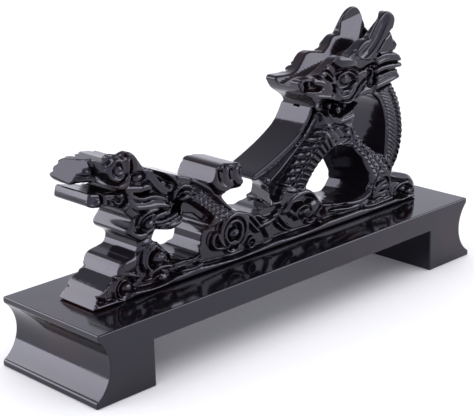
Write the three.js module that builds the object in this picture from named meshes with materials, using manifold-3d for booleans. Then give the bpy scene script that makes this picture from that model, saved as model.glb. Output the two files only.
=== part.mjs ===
// A carved dragon brush rest on a bench-shaped base, in black lacquer.
// Millimetres, +Z up. The origin is on the desk, under the middle of the base.
// +X runs along the base from the dragon's tail end to its back, and -Y is the front face.
import * as THREE from 'three';
import { mergeVertices } from 'three/addons/utils/BufferGeometryUtils.js';
import Module from 'manifold-3d';

const wasm = await Module();
wasm.setup();

// Driving dimensions
const BASE_LENGTH = 244.8;
const BASE_WIDTH = 64;
const BASE_HEIGHT = 31.3;
const BOARD_THICKNESS = 10.6;
const FOOT_LENGTH = 31.6;
const LIP_HEIGHT = 2.6;
const TOP_LIP_SETBACK = 2.4;
const END_HOLLOW_DEPTH = 8;
const PLATE_HALF = 12.3;
const FIELD_HALF = 11.6;
const LEG_HALF = 11.9;
const ARM_HALF = 7.5;
const HORN_INNER = 6;
const WEB_HALF = 5;
const GAP = 0.3;
const SCREW_RADIUS = 1.6;
const SCREW_HEAD_RADIUS = 3.4;
const SCREW_HEAD_RIM = 0.3;
const SCREW_POINT = 3;
const SCREW_DEPTH = 12;
const SCREW_SINK = 0.4;
const SCREW_SEAT = BASE_HEIGHT - BOARD_THICKNESS + SCREW_SINK;
const COUNTERBORE_REACH = 2;
const SLOT_WIDTH = 0.9;
const SLOT_DEPTH = 0.7;
const SCREW_PLACES = { left: -83, middle: 14, right: 83 };

// How finely curves are cut into straight steps
const CURVE_STEPS = 3;
const DISC_STEPS = 20;
const SCREW_STEPS = 16;
const HOLLOW_STEPS = 16;
const WELD_DISTANCE = 1e-4;

const lacquer = () => new THREE.MeshStandardMaterial({ color: 0x17151a, roughness: 0.12, metalness: 0 });
const steel = () => new THREE.MeshStandardMaterial({ color: 0x9a968c, roughness: 0.35, metalness: 1 });

const model = new THREE.Group();

// Solids: three.js geometry in, manifold for joining and cutting, three.js geometry out

function solidOf(geometry) {
  const bare = geometry.clone();
  bare.deleteAttribute('normal');
  bare.deleteAttribute('uv');
  const merged = mergeVertices(bare, WELD_DISTANCE);
  return new wasm.Manifold(new wasm.Mesh({
    numProp: 3,
    vertProperties: new Float32Array(merged.attributes.position.array),
    triVerts: new Uint32Array(merged.index.array),
  }));
}

function addPart(name, solid, material = lacquer()) {
  const mesh = solid.getMesh();
  const geometry = new THREE.BufferGeometry();
  geometry.setAttribute('position', new THREE.BufferAttribute(mesh.vertProperties, 3));
  geometry.setIndex(new THREE.BufferAttribute(mesh.triVerts, 1));
  geometry.computeVertexNormals();
  const part = new THREE.Mesh(geometry, material);
  part.name = name;
  model.add(part);
}

// Outlines lie in the XZ plane. Each run of points is one smooth stretch, and
// two runs meet at a sharp corner.

function runs(...stretches) {
  const points = [];
  for (const stretch of stretches) {
    const knots = stretch.map(([x, z]) => new THREE.Vector2(x, z));
    const steps = stretch.length > 2 ? CURVE_STEPS * (stretch.length - 1) : 1;
    const curve = new THREE.SplineCurve(knots);
    for (let i = 0; i < steps; i += 1) {
      points.push(curve.getPoint(i / steps));
    }
  }
  return points;
}

function anticlockwise(points) {
  return THREE.ShapeUtils.isClockWise(points) ? points.reverse() : points;
}

function outline(...stretches) {
  return anticlockwise(runs(...stretches));
}

function polygon(corners) {
  return anticlockwise(corners.map(([x, z]) => new THREE.Vector2(x, z)));
}

// Moves every edge of a closed outline inwards, so that neighbours keep a gap.
// At a very sharp corner the corner point moves no more than twice as far.
const SHARPEST_COSINE = 0.5;

function inset(points, distance = GAP / 2) {
  return points.map((point, i) => {
    const before = points[(i + points.length - 1) % points.length];
    const after = points[(i + 1) % points.length];
    const incoming = point.clone().sub(before).normalize();
    const outgoing = after.clone().sub(point).normalize();
    const normal = new THREE.Vector2(-incoming.y - outgoing.y, incoming.x + outgoing.x).normalize();
    const cosine = Math.max(SHARPEST_COSINE, normal.dot(new THREE.Vector2(-incoming.y, incoming.x)));
    return point.clone().addScaledVector(normal, distance / cosine);
  });
}

// Extrudes an XZ outline along Y, from the front plane to the back plane.
function slab(points, front, back) {
  const shape = new THREE.Shape(points);
  const geometry = new THREE.ExtrudeGeometry(shape, { depth: back - front, bevelEnabled: false });
  geometry.rotateX(Math.PI / 2);
  geometry.translate(0, back, 0);
  return solidOf(geometry);
}

function disc(x, z, radius, half) {
  const geometry = new THREE.CylinderGeometry(radius, radius, 2 * half, DISC_STEPS);
  geometry.translate(x, 0, z);
  return solidOf(geometry);
}

// A carved block: a plain field with the raised scrolls of both faces on it.
// scrolls lists [x, z, radius] of each one, and web is the outline of a thinner
// wall at its middle. Each block is cut back by the ones made before it, which
// keeps the glue joint between two blocks one even gap.
const claimed = [];

const PLAIN_BLOCK = { scrolls: [], front: -FIELD_HALF, back: FIELD_HALF, cuts: [], web: null };

function block(name, points, options = {}) {
  const { scrolls, front, back, cuts, web } = { ...PLAIN_BLOCK, ...options };
  const edge = inset(points);
  let solid = slab(edge, front, back);
  if (web) {
    solid = solid.add(slab(inset(web), -WEB_HALF, WEB_HALF));
  }
  if (scrolls.length) {
    const limit = slab(edge, -PLATE_HALF, PLATE_HALF);
    for (const [x, z, radius] of scrolls) {
      const rim = disc(x, z, radius, (FIELD_HALF + PLATE_HALF) / 2);
      const heart = disc(x, z, 0.5 * radius, PLATE_HALF);
      solid = solid.add(rim.add(heart).intersect(limit));
    }
  }
  for (const cut of cuts.concat(claimed)) {
    solid = solid.subtract(cut);
  }
  const reach = scrolls.length ? PLATE_HALF - FIELD_HALF : 0;
  claimed.push(slab(inset(points, -GAP / 2), front - reach - GAP, back + reach + GAP));
  const pieces = solid.decompose().sort((a, b) => b.volume() - a.volume());
  addPart(name, pieces[0]);
}

// Screws, from under the board up into the carving

// A screw, or with a clearance the hole and counterbore that take it.
function screwShape(x, clearance) {
  const head = SCREW_HEAD_RADIUS + clearance;
  const shank = SCREW_RADIUS + clearance;
  const bottom = clearance ? SCREW_SEAT - COUNTERBORE_REACH : SCREW_SEAT;
  const rim = SCREW_SEAT + SCREW_HEAD_RIM;
  const tip = BASE_HEIGHT + SCREW_DEPTH + clearance;
  const profile = [
    [0, bottom], [head, bottom], [head, rim],
    [shank, rim + head - shank], [shank, tip - SCREW_POINT], [0, tip],
  ].map(([r, z]) => new THREE.Vector2(r, z));
  const geometry = new THREE.LatheGeometry(profile, SCREW_STEPS);
  geometry.rotateX(Math.PI / 2);
  geometry.translate(x, 0, 0);
  return solidOf(geometry);
}

const screwHole = (place) => screwShape(SCREW_PLACES[place], GAP);

function addScrew(place) {
  const x = SCREW_PLACES[place];
  const slot = new THREE.BoxGeometry(3 * SCREW_HEAD_RADIUS, SLOT_WIDTH, 2 * SLOT_DEPTH);
  slot.translate(x, 0, SCREW_SEAT);
  addPart(`screw_${place}`, screwShape(x, 0).subtract(solidOf(slot)), steel());
}

// Base: a board on two end blocks, with one hollow moulding down each end

function endHollow(side) {
  const low = new THREE.Vector2(side * BASE_LENGTH / 2, LIP_HEIGHT);
  const high = new THREE.Vector2(side * (BASE_LENGTH / 2 - TOP_LIP_SETBACK), BASE_HEIGHT - LIP_HEIGHT);
  const chord = high.clone().sub(low);
  const depth = END_HOLLOW_DEPTH - TOP_LIP_SETBACK / 2;
  const radius = (chord.lengthSq() / 4 + depth * depth) / (2 * depth);
  const middle = low.clone().add(high).multiplyScalar(0.5);
  const centre = middle.clone();
  centre.x += side * (radius - depth);
  const start = Math.atan2(low.y - centre.y, side * (centre.x - low.x));
  const end = Math.atan2(high.y - centre.y, side * (centre.x - high.x));
  const points = [];
  for (let i = 0; i <= HOLLOW_STEPS; i += 1) {
    const angle = start + (end - start) * i / HOLLOW_STEPS;
    points.push([centre.x - side * radius * Math.cos(angle), centre.y + radius * Math.sin(angle)]);
  }
  return points;
}

function addBase() {
  const halfWidth = BASE_WIDTH / 2;
  const underside = BASE_HEIGHT - BOARD_THICKNESS;
  const topX = BASE_LENGTH / 2 - TOP_LIP_SETBACK;
  // The joint between board and foot gets its own point on the hollow, clear of the arc's own points
  const clear = 1;
  const above = (points) => points.filter(([, z]) => z > underside + clear);
  const below = (points) => points.filter(([, z]) => z < underside - clear);
  const hollowAt = (side) => {
    const points = endHollow(side);
    const upper = points.findIndex(([, z]) => z > underside);
    const [x0, z0] = points[upper - 1];
    const [x1, z1] = points[upper];
    return x0 + (x1 - x0) * (underside - z0) / (z1 - z0);
  };
  const board = polygon([
    [hollowAt(1), underside], ...above(endHollow(1)), [topX, BASE_HEIGHT],
    [-topX, BASE_HEIGHT], ...above(endHollow(-1)).reverse(), [hollowAt(-1), underside],
  ]);
  let top = slab(board, -halfWidth, halfWidth);
  for (const place of Object.keys(SCREW_PLACES)) {
    top = top.subtract(screwHole(place));
  }
  addPart('base_board', top);
  for (const [name, side] of [['left_foot', -1], ['right_foot', 1]]) {
    const inner = side * (BASE_LENGTH / 2 - FOOT_LENGTH);
    const foot = polygon([
      [inner, 0], [side * BASE_LENGTH / 2, 0], ...below(endHollow(side)),
      [hollowAt(side), underside - GAP], [inner, underside - GAP],
    ]);
    addPart(name, slab(foot, -halfWidth, halfWidth));
  }
}

// Cloud blocks that stand on the board

const FLOOR = BASE_HEIGHT + GAP / 2;

function addClouds() {
  const left = outline(
    [[-61, 42.2], [-63, 47], [-67, 51.5], [-72, 53.8]],
    [[-72, 53.8], [-80, 53.8]],
    [[-80, 53.8], [-80.8, 51.5], [-84, 49.8], [-88.8, 48.9], [-91.2, 47]],
    [[-91.2, 47], [-92.6, 43]],
    [[-92.6, 43], [-95.5, 41.3], [-98.8, 39.4], [-102, 36.8], [-104.6, 33.8], [-106.5, FLOOR]],
    [[-106.5, FLOOR], [-61, FLOOR]],
    [[-61, FLOOR], [-61, 42.2]],
  );
  block('left_cloud', left, {
    scrolls: [[-88.5, 37, 6.5], [-70, 46, 7.8]],
    cuts: [screwHole('left')],
  });
  const middle = outline(
    [[-4.5, 49.8], [-11, 50.6], [-17, 53.2], [-23.5, 55.4]],
    [[-23.5, 55.4], [-31, 53.6], [-38, 52.2]],
    [[-38, 52.2], [-41.6, 49], [-42.6, 44.2], [-46, 40.6]],
    [[-46, 40.6], [-53, 40.6], [-61, 42.2]],
    [[-61, 42.2], [-61, FLOOR]],
    [[-61, FLOOR], [-4.5, FLOOR]],
    [[-4.5, FLOOR], [-4.5, 49.8]],
  );
  block('middle_cloud', middle, { scrolls: [[-24, 46, 8.6], [-51, 36, 3.6]] });
  const centre = outline(
    [[-4.5, 49.8], [3, 50.4], [9, 51.7]],
    [[9, 51.7], [15, 53.8], [22, 54.6], [27, 52.6], [31, 48], [34.5, 45]],
    [[34.5, 45], [41, 43.3]],
    [[41, 43.3], [41, FLOOR]],
    [[41, FLOOR], [-4.5, FLOOR]],
    [[-4.5, FLOOR], [-4.5, 49.8]],
  );
  block('centre_cloud', centre, {
    scrolls: [[20.5, 44, 9], [34, 38, 4.4]],
    cuts: [screwHole('middle')],
  });
  const low = outline(
    [[41, 43.3], [50, 41.6], [60, 41.3], [67, 43]],
    [[67, 43], [67, FLOOR]],
    [[67, FLOOR], [41, FLOOR]],
    [[41, FLOOR], [41, 43.3]],
  );
  block('low_cloud', low, { scrolls: [[54, 36.6, 3.6]] });
  const right = outline(
    [[67, 43], [72, 44.2], [83.2, 47]],
    [[83.2, 47], [84.6, 48.8]],
    [[84.6, 48.8], [93, 46.6], [100.2, 43.6], [104, 38.5], [104.5, FLOOR]],
    [[104.5, FLOOR], [67, FLOOR]],
    [[67, FLOOR], [67, 43]],
  );
  block('right_cloud', right, {
    scrolls: [[95, 37.6, 5.4], [76, 38.6, 4.6]],
    cuts: [screwHole('right')],
  });
}

// Tail end: a curled beast's mask with an open mouth, on a stem of cloud

function addTailEnd() {
  const stem = outline(
    [[-80, 53.8], [-80.6, 56], [-85.3, 59.3], [-86.2, 61.4], [-84, 63.6], [-82.4, 65.8]],
    [[-82.4, 65.8], [-78, 67.3], [-66, 65.2], [-54, 59.6]],
    [[-54, 59.6], [-56, 57], [-60.7, 55.6], [-68.6, 57.4], [-71.5, 55.4], [-72, 53.8]],
    [[-72, 53.8], [-80, 53.8]],
  );
  block('tail_stem', stem, { scrolls: [[-78, 60, 4.6]] });
  const lowerJaw = outline(
    [[-105.6, 77], [-104.3, 82]],
    [[-104.3, 82], [-97, 80.4], [-86, 78.8], [-79, 76.6]],
    [[-79, 76.6], [-78, 67.3]],
    [[-78, 67.3], [-82.4, 65.8]],
    [[-82.4, 65.8], [-88, 71], [-94, 74.2], [-102, 75.2], [-105.6, 77]],
  );
  block('lower_jaw', lowerJaw, { scrolls: [[-88.5, 73.6, 4.6]] });
  const upperJaw = outline(
    [[-104.6, 83.2], [-107, 85.6], [-107.2, 88.6], [-104.2, 93]],
    [
      [-104.2, 93], [-98.8, 92.8], [-96.5, 94], [-92, 95.8],
      [-87, 94.4], [-82.5, 95], [-79, 92.6], [-75, 87],
    ],
    [[-75, 87], [-74, 80]],
    [[-74, 80], [-79, 76.6]],
    [[-79, 76.6], [-86, 78.8], [-95, 83.2], [-104.6, 83.2]],
  );
  block('upper_jaw', upperJaw, { scrolls: [[-89, 88, 6]] });
  const strands = outline(
    [[-75, 87], [-68, 84], [-60, 80.6], [-56, 79]],
    [[-56, 79], [-54, 70], [-54, 59.6]],
    [[-54, 59.6], [-66, 65.2], [-78, 67.3]],
    [[-78, 67.3], [-79, 76.6]],
    [[-79, 76.6], [-74, 80]],
    [[-74, 80], [-75, 87]],
  );
  block('mane_strands', strands, { scrolls: [[-70, 61.5, 4]] });
  const scaled = outline(
    [[-56, 79], [-50, 77], [-44, 74.2], [-37, 70.2]],
    [[-37, 70.2], [-32, 64.6], [-27, 59], [-23.5, 55.4]],
    [[-23.5, 55.4], [-31, 53.6], [-38, 52.2]],
    [[-38, 52.2], [-42, 55.4], [-46, 58.4], [-54, 59.6]],
    [[-54, 59.6], [-54, 70], [-56, 79]],
  );
  block('scaled_tail', scaled, { scrolls: [[-49, 69, 6]] });
}

// Body, foreleg and the hollow forearm that the brush lies against

const ARM_TOP = [
  [-17.4, 66.6], [-9, 67.2], [-0.5, 69.6], [10, 74],
  [18.2, 78.2], [25.1, 82.7], [29.2, 88], [30.8, 91.4],
];
const ARM_FOOT = [
  [34, 90.4], [31.5, 85.4], [26.5, 79.9], [19.5, 75.2],
  [11.2, 71], [1, 66.8], [-8, 64.6], [-17.4, 64.5],
];

function addBody() {
  const claw = outline(
    [[-37, 70.2], [-35.6, 73], [-34, 77], [-31.2, 78.6]],
    [[-31.2, 78.6], [-20, 76.8], [-17.4, 74.6]],
    [[-17.4, 74.6], [-17.4, 64.5]],
    [[-17.4, 64.5], [-25, 64.6], [-32, 64.6]],
    [[-32, 64.6], [-37, 70.2]],
  );
  block('claw', claw, { scrolls: [[-33, 71.5, 2.6], [-27.6, 71.3, 2.6], [-22.4, 71, 2.6]] });
  const arm = outline(
    ARM_TOP,
    [ARM_TOP.at(-1), ARM_FOOT[0]],
    ARM_FOOT,
    [ARM_FOOT.at(-1), ARM_TOP[0]],
  );
  block('forearm', arm, { front: -ARM_HALF, back: PLATE_HALF });
  const rise = outline(
    [[-4.5, 49.8], [0, 52], [1.4, 56], [-0.6, 60], [-4, 62.8], [-8, 64.6]],
    ARM_FOOT.slice(1, -1).reverse().concat([ARM_FOOT[0]]),
    [[34, 90.4], [36.5, 86], [41, 82.4]],
    [[41, 82.4], [41, 69.8]],
    [[41, 69.8], [36, 66.8], [31, 63.4], [27, 59.6], [22, 54.6]],
    [[22, 54.6], [15, 53.8], [9, 51.7]],
    [[9, 51.7], [3, 50.4], [-4.5, 49.8]],
  );
  block('body_rise', rise);
  const leg = outline(
    [
      [41, 82.4], [46, 80.9], [52, 80.8], [57, 76.6], [62, 71],
      [68, 65.6], [74, 61], [79.6, 56.2], [84.6, 48.8],
    ],
    [[84.6, 48.8], [83.2, 47]],
    [[83.2, 47], [72, 44.2], [67, 43]],
    [[67, 43], [70, 46.6], [69, 51], [63.6, 60.4], [56.6, 67.2], [49, 70], [41, 69.8]],
    [[41, 69.8], [41, 82.4]],
  );
  const web = outline(
    [[44, 70.4], [48, 66], [51.2, 60.6], [51.8, 53.6], [50.2, 48.4], [46, 45.4], [41, 44.4]],
    [[41, 44.4], [50, 41.2]],
    [[50, 41.2], [69, 42.6]],
    [[69, 42.6], [72, 50], [66, 61], [57, 69], [50, 72], [44, 70.4]],
  );
  block('foreleg', leg, { front: -LEG_HALF, back: LEG_HALF, web });
  addBackLoop();
}

// The arched back, with one spine for every few degrees of its outer edge
function addBackLoop() {
  const spines = 17;
  const spineHeight = 1.3;
  const outer = new THREE.SplineCurve([
    [84, 94.2], [88.6, 87.4], [91.6, 80], [93, 72], [92.8, 64], [90, 55.6], [84.6, 48.8],
  ].map(([x, z]) => new THREE.Vector2(x, z)));
  const points = [];
  for (let i = 0; i < 2 * spines; i += 1) {
    const at = i / (2 * spines);
    const along = outer.getTangentAt(at);
    const out = new THREE.Vector2(-along.y, along.x).multiplyScalar(i % 2 ? spineHeight : 0);
    points.push(outer.getPointAt(at).add(out));
  }
  const inner = runs(
    [[84.6, 48.8], [79.6, 56.2]],
    [[79.6, 56.2], [80.2, 64], [80.4, 72], [79, 79.4], [75.6, 86], [70, 91.2]],
    [[70, 91.2], [84, 94.2]],
  );
  block('back_loop', polygon(points.concat(inner).map(({ x, y }) => [x, y])));
}

// Head: skull with a trough along its top, two horns, a jaw and the swept mane

function headTrough() {
  const section = polygon([[5, 99.6], [20, 102.6], [95, 115.2], [95, 140], [5, 140]]);
  return slab(section, -HORN_INNER, HORN_INNER);
}

function addHead() {
  const skull = outline(
    [[30.8, 91.6], [30, 94], [26.8, 96.6], [22.2, 99.8], [18.9, 105]],
    [
      [18.9, 105], [20.9, 106.4], [27.6, 106], [33.2, 107.2],
      [39.3, 111], [42.4, 113.2], [47, 113.6], [53, 112.4],
    ],
    [[53, 112.4], [57.6, 114.7]],
    [[57.6, 114.7], [59, 111], [66, 108.4], [72, 108.3]],
    [[72, 108.3], [72, 92]],
    [[72, 92], [70, 91.2]],
    [[70, 91.2], [60, 91], [44, 91.4], [34, 90.6]],
    [[34, 90.6], [30.8, 91.6]],
  );
  block('skull', skull, { scrolls: [[51.5, 101, 5.4]], cuts: [headTrough()] });
  const jaw = outline(
    [[34, 90.6], [44, 91.4], [60, 91]],
    [[60, 91], [60.2, 88.4], [56.4, 86]],
    [[56.4, 86], [58.2, 82.4], [55.4, 78.4]],
    [[55.4, 78.4], [52, 80.8], [46, 80.9], [41, 82.4]],
    [[41, 82.4], [36.5, 86], [34, 90.6]],
  );
  block('jaw_and_beard', jaw);
  const horn = outline(
    [[57.6, 114.7], [62.6, 118.4], [66.9, 118.5]],
    [
      [66.9, 118.5], [70, 122.6], [74.2, 127.2], [78.4, 129.5],
      [82.8, 129.2], [86.2, 125.6], [84.8, 120.4],
    ],
    [[84.8, 120.4], [78, 114.8], [72, 108.3]],
    [[72, 108.3], [66, 108.4], [59, 111], [57.6, 114.7]],
  );
  block('front_horn', horn, { front: -PLATE_HALF, back: -HORN_INNER });
  block('back_horn', horn, { front: HORN_INNER, back: PLATE_HALF });
  addMane();
}

function addMane() {
  const root = 72;
  const locks = {
    top: [[root, 108.3], [78, 114.8], [84.4, 119.6], [86.2, 115.2], [89, 111.4], [87.2, 109.1]],
    upper: [[root, 103.6], [root, 108.3], [87.2, 109.1], [91.2, 106.4], [91.9, 103.6]],
    lower: [[root, 98.4], [root, 103.6], [91.9, 103.6], [91.9, 100.4], [88, 99.6]],
    bottom: [[root, 92], [root, 98.4], [88, 99.6], [91.4, 96], [84, 94.2]],
  };
  for (const [name, corners] of Object.entries(locks)) {
    const cuts = name === 'top' ? [headTrough()] : [];
    block(`mane_lock_${name}`, polygon(corners), { cuts });
  }
}

addBase();
Object.keys(SCREW_PLACES).forEach(addScrew);
addClouds();
addTailEnd();
addBody();
addHead();

export default model;
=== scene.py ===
"""The looks of a carved dragon brush rest in black lacquer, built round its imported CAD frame.

The carving is a field: an outline seen from the front, taken from the CAD nodes, with a height map of
relief on both side faces. Points and lengths of the carving are in millimetres, as in the CAD source.
"""
import math

import bmesh
import bpy
import numpy as np
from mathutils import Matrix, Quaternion, Vector


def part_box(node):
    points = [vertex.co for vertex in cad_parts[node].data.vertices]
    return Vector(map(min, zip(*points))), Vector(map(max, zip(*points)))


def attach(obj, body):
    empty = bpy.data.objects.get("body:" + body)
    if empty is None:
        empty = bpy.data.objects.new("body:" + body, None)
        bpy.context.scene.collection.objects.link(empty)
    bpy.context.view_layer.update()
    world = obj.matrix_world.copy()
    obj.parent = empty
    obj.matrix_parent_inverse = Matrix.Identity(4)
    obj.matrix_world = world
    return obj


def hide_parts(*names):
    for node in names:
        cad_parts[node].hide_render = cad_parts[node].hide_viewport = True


MM = 0.001

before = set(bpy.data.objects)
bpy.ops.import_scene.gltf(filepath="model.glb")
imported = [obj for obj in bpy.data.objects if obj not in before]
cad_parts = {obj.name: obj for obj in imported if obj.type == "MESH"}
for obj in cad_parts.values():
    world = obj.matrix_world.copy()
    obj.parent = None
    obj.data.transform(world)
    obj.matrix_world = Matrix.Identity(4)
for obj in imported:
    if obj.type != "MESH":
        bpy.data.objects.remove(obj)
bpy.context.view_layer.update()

# Carving: thicknesses are half widths, from the middle plane to a side face
FIELD_HALF = 11.6
HIGHEST = 12.6
EDGE_ROUND = 0.7
GLUE_GAP = 0.15

# The grid's steps along X and Z, along Y near the side faces, and along Y between them
CELL = 0.38
FACE_CELL = 0.6
CORE_CELL = 2.6
CORE_HALF = 5.0
MARGIN = 3.0

# How far a block's outline is looked up around it, and how the mesh is drawn onto the field
OUTLINE_REACH = 8.0
DRAW_ROUNDS = 3
DRAW_LIMIT = 0.3
LEAST_STEEPNESS = 0.6

# Blocks whose outlines are rubbed smooth
SMOOTH_BLOCKS = ("forearm", "foreleg", "body_rise", "claw")

# Blurs in millimetres: crisp and rubbed outlines, the change between them, the thickness and the relief
CRISP_BLUR = 0.55
RUBBED_BLUR = 1.6
CHANGE_BLUR = 1.2
HALF_BLUR = 0.35
RELIEF_BLUR = 0.22

# The hollow along the top of the head: a point on its floor, how the floor climbs, and its left end.
# Each wall has its half width at the floor, how it leans, and the height where it turns upright.
TROUGH_X = 20.0
TROUGH_Z = 103.0
TROUGH_CLIMB = 0.17
TROUGH_END = 12.0
NEAR_WALL = (4.2, 0.42, 14.0)
FAR_WALL = (2.8, 0.6, 11.5)
# The hollow narrows through the top mane lock, behind the line along the horns' back edge
LOCK_START = 74.0
LOCK_FULL = 80.0
HORN_FOOT = (72.0, 108.3)
HORN_SLOPE = 0.98

# The flat top of the mask, from its nose to its ear, and where it starts behind the front scroll
SADDLE_X = (-106.0, -103.0, -97.7, -91.2, -87.7, -82.7, -79.2, -75.7)
SADDLE_Z = (92.2, 92.4, 92.4, 92.9, 92.3, 91.6, 89.9, 87.2)
SADDLE_FRONT = -7.5
SADDLE_TURN = 0.12
SADDLE_MIDDLE = -90.0
SADDLE_END = -74.0

# The front of the nose is cut back towards its tip: where that starts, its half width there, its slant,
# and the height of the mouth's roof under it
NOSE_START = -94.6
NOSE_HALF = 5.2
NOSE_SLANT = 0.72
MOUTH_ROOF = 83.0
# The plane that takes off the nose's corner: a point on it and how it rises along X and Y
NOSE_CORNER = (-92.0, -7.0, 93.0)
NOSE_RISE = (0.99, 0.5)

# The wall of the body over the clouds, which leans back to the right: its height and place at the front
# face, how far it has moved at the back face, the forearm and the clouds that it ends at, and how far
# to the left the space beside it runs
WALL_Z = (49.3, 52.0, 56.0, 60.0, 62.8, 66.0)
WALL_X = (0.0, 0.0, 1.2, -0.8, -4.0, -8.0)
WALL_SHIFT = 9.0
ARM_X = (-17.4, -8.0, 1.0, 11.2, 19.5)
ARM_Z = (64.5, 64.6, 66.8, 71.0, 75.2)
CLOUD_X = (-4.5, 3.0, 9.0, 15.0)
CLOUD_Z = (49.8, 50.4, 51.7, 53.8)
SPACE_LEFT = -12.0
SPACE_CLEAR = 0.3

# The inner wall of the foreleg's arch, which leans back to the left, and how far it reaches into the leg
ARCH_Z = (41.0, 43.0, 46.6, 51.0, 60.4, 67.2, 70.0)
ARCH_X = (64.0, 67.0, 70.0, 69.0, 63.6, 56.6, 49.0)
ARCH_SHIFT = 7.5
ARCH_OVERLAP = 1.5

# Base, with its mouldings in millimetres as in the CAD source
BASE_LIP = 2.6
BASE_SETBACK = 2.4
BASE_HOLLOW = 8.0
BASE_EDGE_ROUND = 0.7
ARC_STEPS = 48

# Camera: azimuth, elevation and roll in degrees, and what it looks at, in millimetres
CAMERA_ANGLES = (-44.06, 18.04, -1.4)
CAMERA_TARGET = (-11.2, 0.0, 51.0)
CAMERA_DISTANCE = 636.8
CAMERA_LENS = 106.07

# Studio, in metres. The sky's brightness falls from the horizon to overhead. Each panel has its centre,
# width, height, brightness, and whether it lights the object or only the floor.
SKY_COLOUR = (0.95, 0.95, 1.06, 1)
SKY_FADE = {"From Min": 0.25, "From Max": 0.75, "To Min": 1.2, "To Max": 0.45}
FLOOR_HALF = 3.0
PANELS = {
    "back_left_panel": ((-1.1, 1.35, 0.75), 2.0, 1.4, 4.8, "object"),
    "top_left_panel": ((-0.9, 0.1, 1.55), 1.1, 1.1, 4.4, "object"),
    "front_right_panel": ((1.25, -1.3, 0.72), 1.4, 1.05, 4.6, "object"),
    "floor_panel": ((0.0, 0.0, 2.2), 4.0, 4.0, 1.4, "floor"),
}


# ---------------------------------------------------------------- small maths


def smooth_max(a, b, width):
    """The larger of a and b, rounded over where they meet, and the share of a in it."""
    share = np.clip(0.5 + 0.5 * (a - b) / width, 0.0, 1.0)
    return b + (a - b) * share + width * share * (1.0 - share), share


def ramp(value, low, high):
    """Rises smoothly from 0 to 1 between low and high."""
    t = np.clip((value - low) / (high - low), 0.0, 1.0)
    return t * t * (3.0 - 2.0 * t)


def curve_through(points, per_span=7):
    """A smooth line through given points, as an array of points."""
    knots = np.array(points, float)
    if len(knots) < 3:
        return knots
    padded = np.vstack([2 * knots[0] - knots[1], knots, 2 * knots[-1] - knots[-2]])
    t = np.linspace(0.0, 1.0, per_span, endpoint=False)[:, None]
    line = []
    for before, start, end, after in zip(padded, padded[1:], padded[2:], padded[3:]):
        line.append(0.5 * (2 * start + (end - before) * t
                           + (2 * before - 5 * start + 4 * end - after) * t ** 2
                           + (3 * start - before - 3 * end + after) * t ** 3))
    return np.vstack(line + [knots[-1:]])


def line_distance(x, z, line):
    """Distance from each point to a line, and how far along the line the nearest place is, from 0 to 1."""
    starts, steps = line[:-1], np.diff(line, axis=0)
    lengths = np.linalg.norm(steps, axis=1)
    travelled = np.concatenate([[0.0], np.cumsum(lengths)])
    best = np.full(x.shape, np.inf)
    along = np.zeros(x.shape)
    for start, step, length, done in zip(starts, steps, lengths, travelled):
        if length < 1e-9:
            continue
        t = np.clip(((x - start[0]) * step[0] + (z - start[1]) * step[1]) / length ** 2, 0.0, 1.0)
        distance = np.hypot(x - start[0] - t * step[0], z - start[1] - t * step[1])
        nearer = distance < best
        best = np.where(nearer, distance, best)
        along = np.where(nearer, (done + t * length) / travelled[-1], along)
    return best, along


def segment_inside(x, z, segments):
    """True where a point is inside the closed outline that the segments make."""
    inside = np.zeros(x.shape, bool)
    for (x0, z0), (x1, z1) in segments:
        if z0 == z1:
            continue
        crosses = (z0 > z) != (z1 > z)
        inside ^= crosses & (x < x0 + (x1 - x0) * (z - z0) / (z1 - z0))
    return inside


def inside_loop(x, z, loop):
    """True where a point is inside a closed line."""
    return segment_inside(x, z, zip(loop, np.roll(loop, -1, axis=0)))


# ------------------------------------------------------- outlines from the CAD


def section(node, share=0.7):
    """Line segments where a CAD node is cut by a plane across Y, part of the way to its back face."""
    low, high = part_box(node)
    plane = 0.5 * (low.y + high.y) + share * 0.5 * (high.y - low.y)
    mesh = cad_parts[node].data
    mesh.calc_loop_triangles()
    points = np.zeros(len(mesh.vertices) * 3)
    mesh.vertices.foreach_get("co", points)
    corners = np.zeros(len(mesh.loop_triangles) * 3, int)
    mesh.loop_triangles.foreach_get("vertices", corners)
    triangles = points.reshape(-1, 3)[corners.reshape(-1, 3)]
    side = triangles[:, :, 1] > plane
    cut = triangles[side.any(axis=1) & ~side.all(axis=1)]
    side = cut[:, :, 1] > plane
    ends = []
    for first, second in ((0, 1), (1, 2), (2, 0)):
        a, b = cut[:, first], cut[:, second]
        crosses = side[:, first] != side[:, second]
        gap = np.where(crosses, b[:, 1] - a[:, 1], 1.0)
        t = ((plane - a[:, 1]) / gap)[:, None]
        ends.append((crosses, (a + t * (b - a))[:, [0, 2]]))
    segments = np.zeros((len(cut), 2, 2))
    filled = np.zeros(len(cut), int)
    for crosses, place in ends:
        rows = np.nonzero(crosses)[0]
        segments[rows, filled[rows]] = place[rows]
        filled[rows] += 1
    return segments / MM


def segment_distance(x, z, segments):
    """Distance from each point to the nearest segment."""
    best = np.full(x.shape, np.inf)
    for (x0, z0), (x1, z1) in segments:
        dx, dz = x1 - x0, z1 - z0
        square = dx * dx + dz * dz
        if square < 1e-12:
            continue
        t = np.clip(((x - x0) * dx + (z - z0) * dz) / square, 0.0, 1.0)
        best = np.minimum(best, np.hypot(x - x0 - t * dx, z - z0 - t * dz))
    return best


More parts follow.
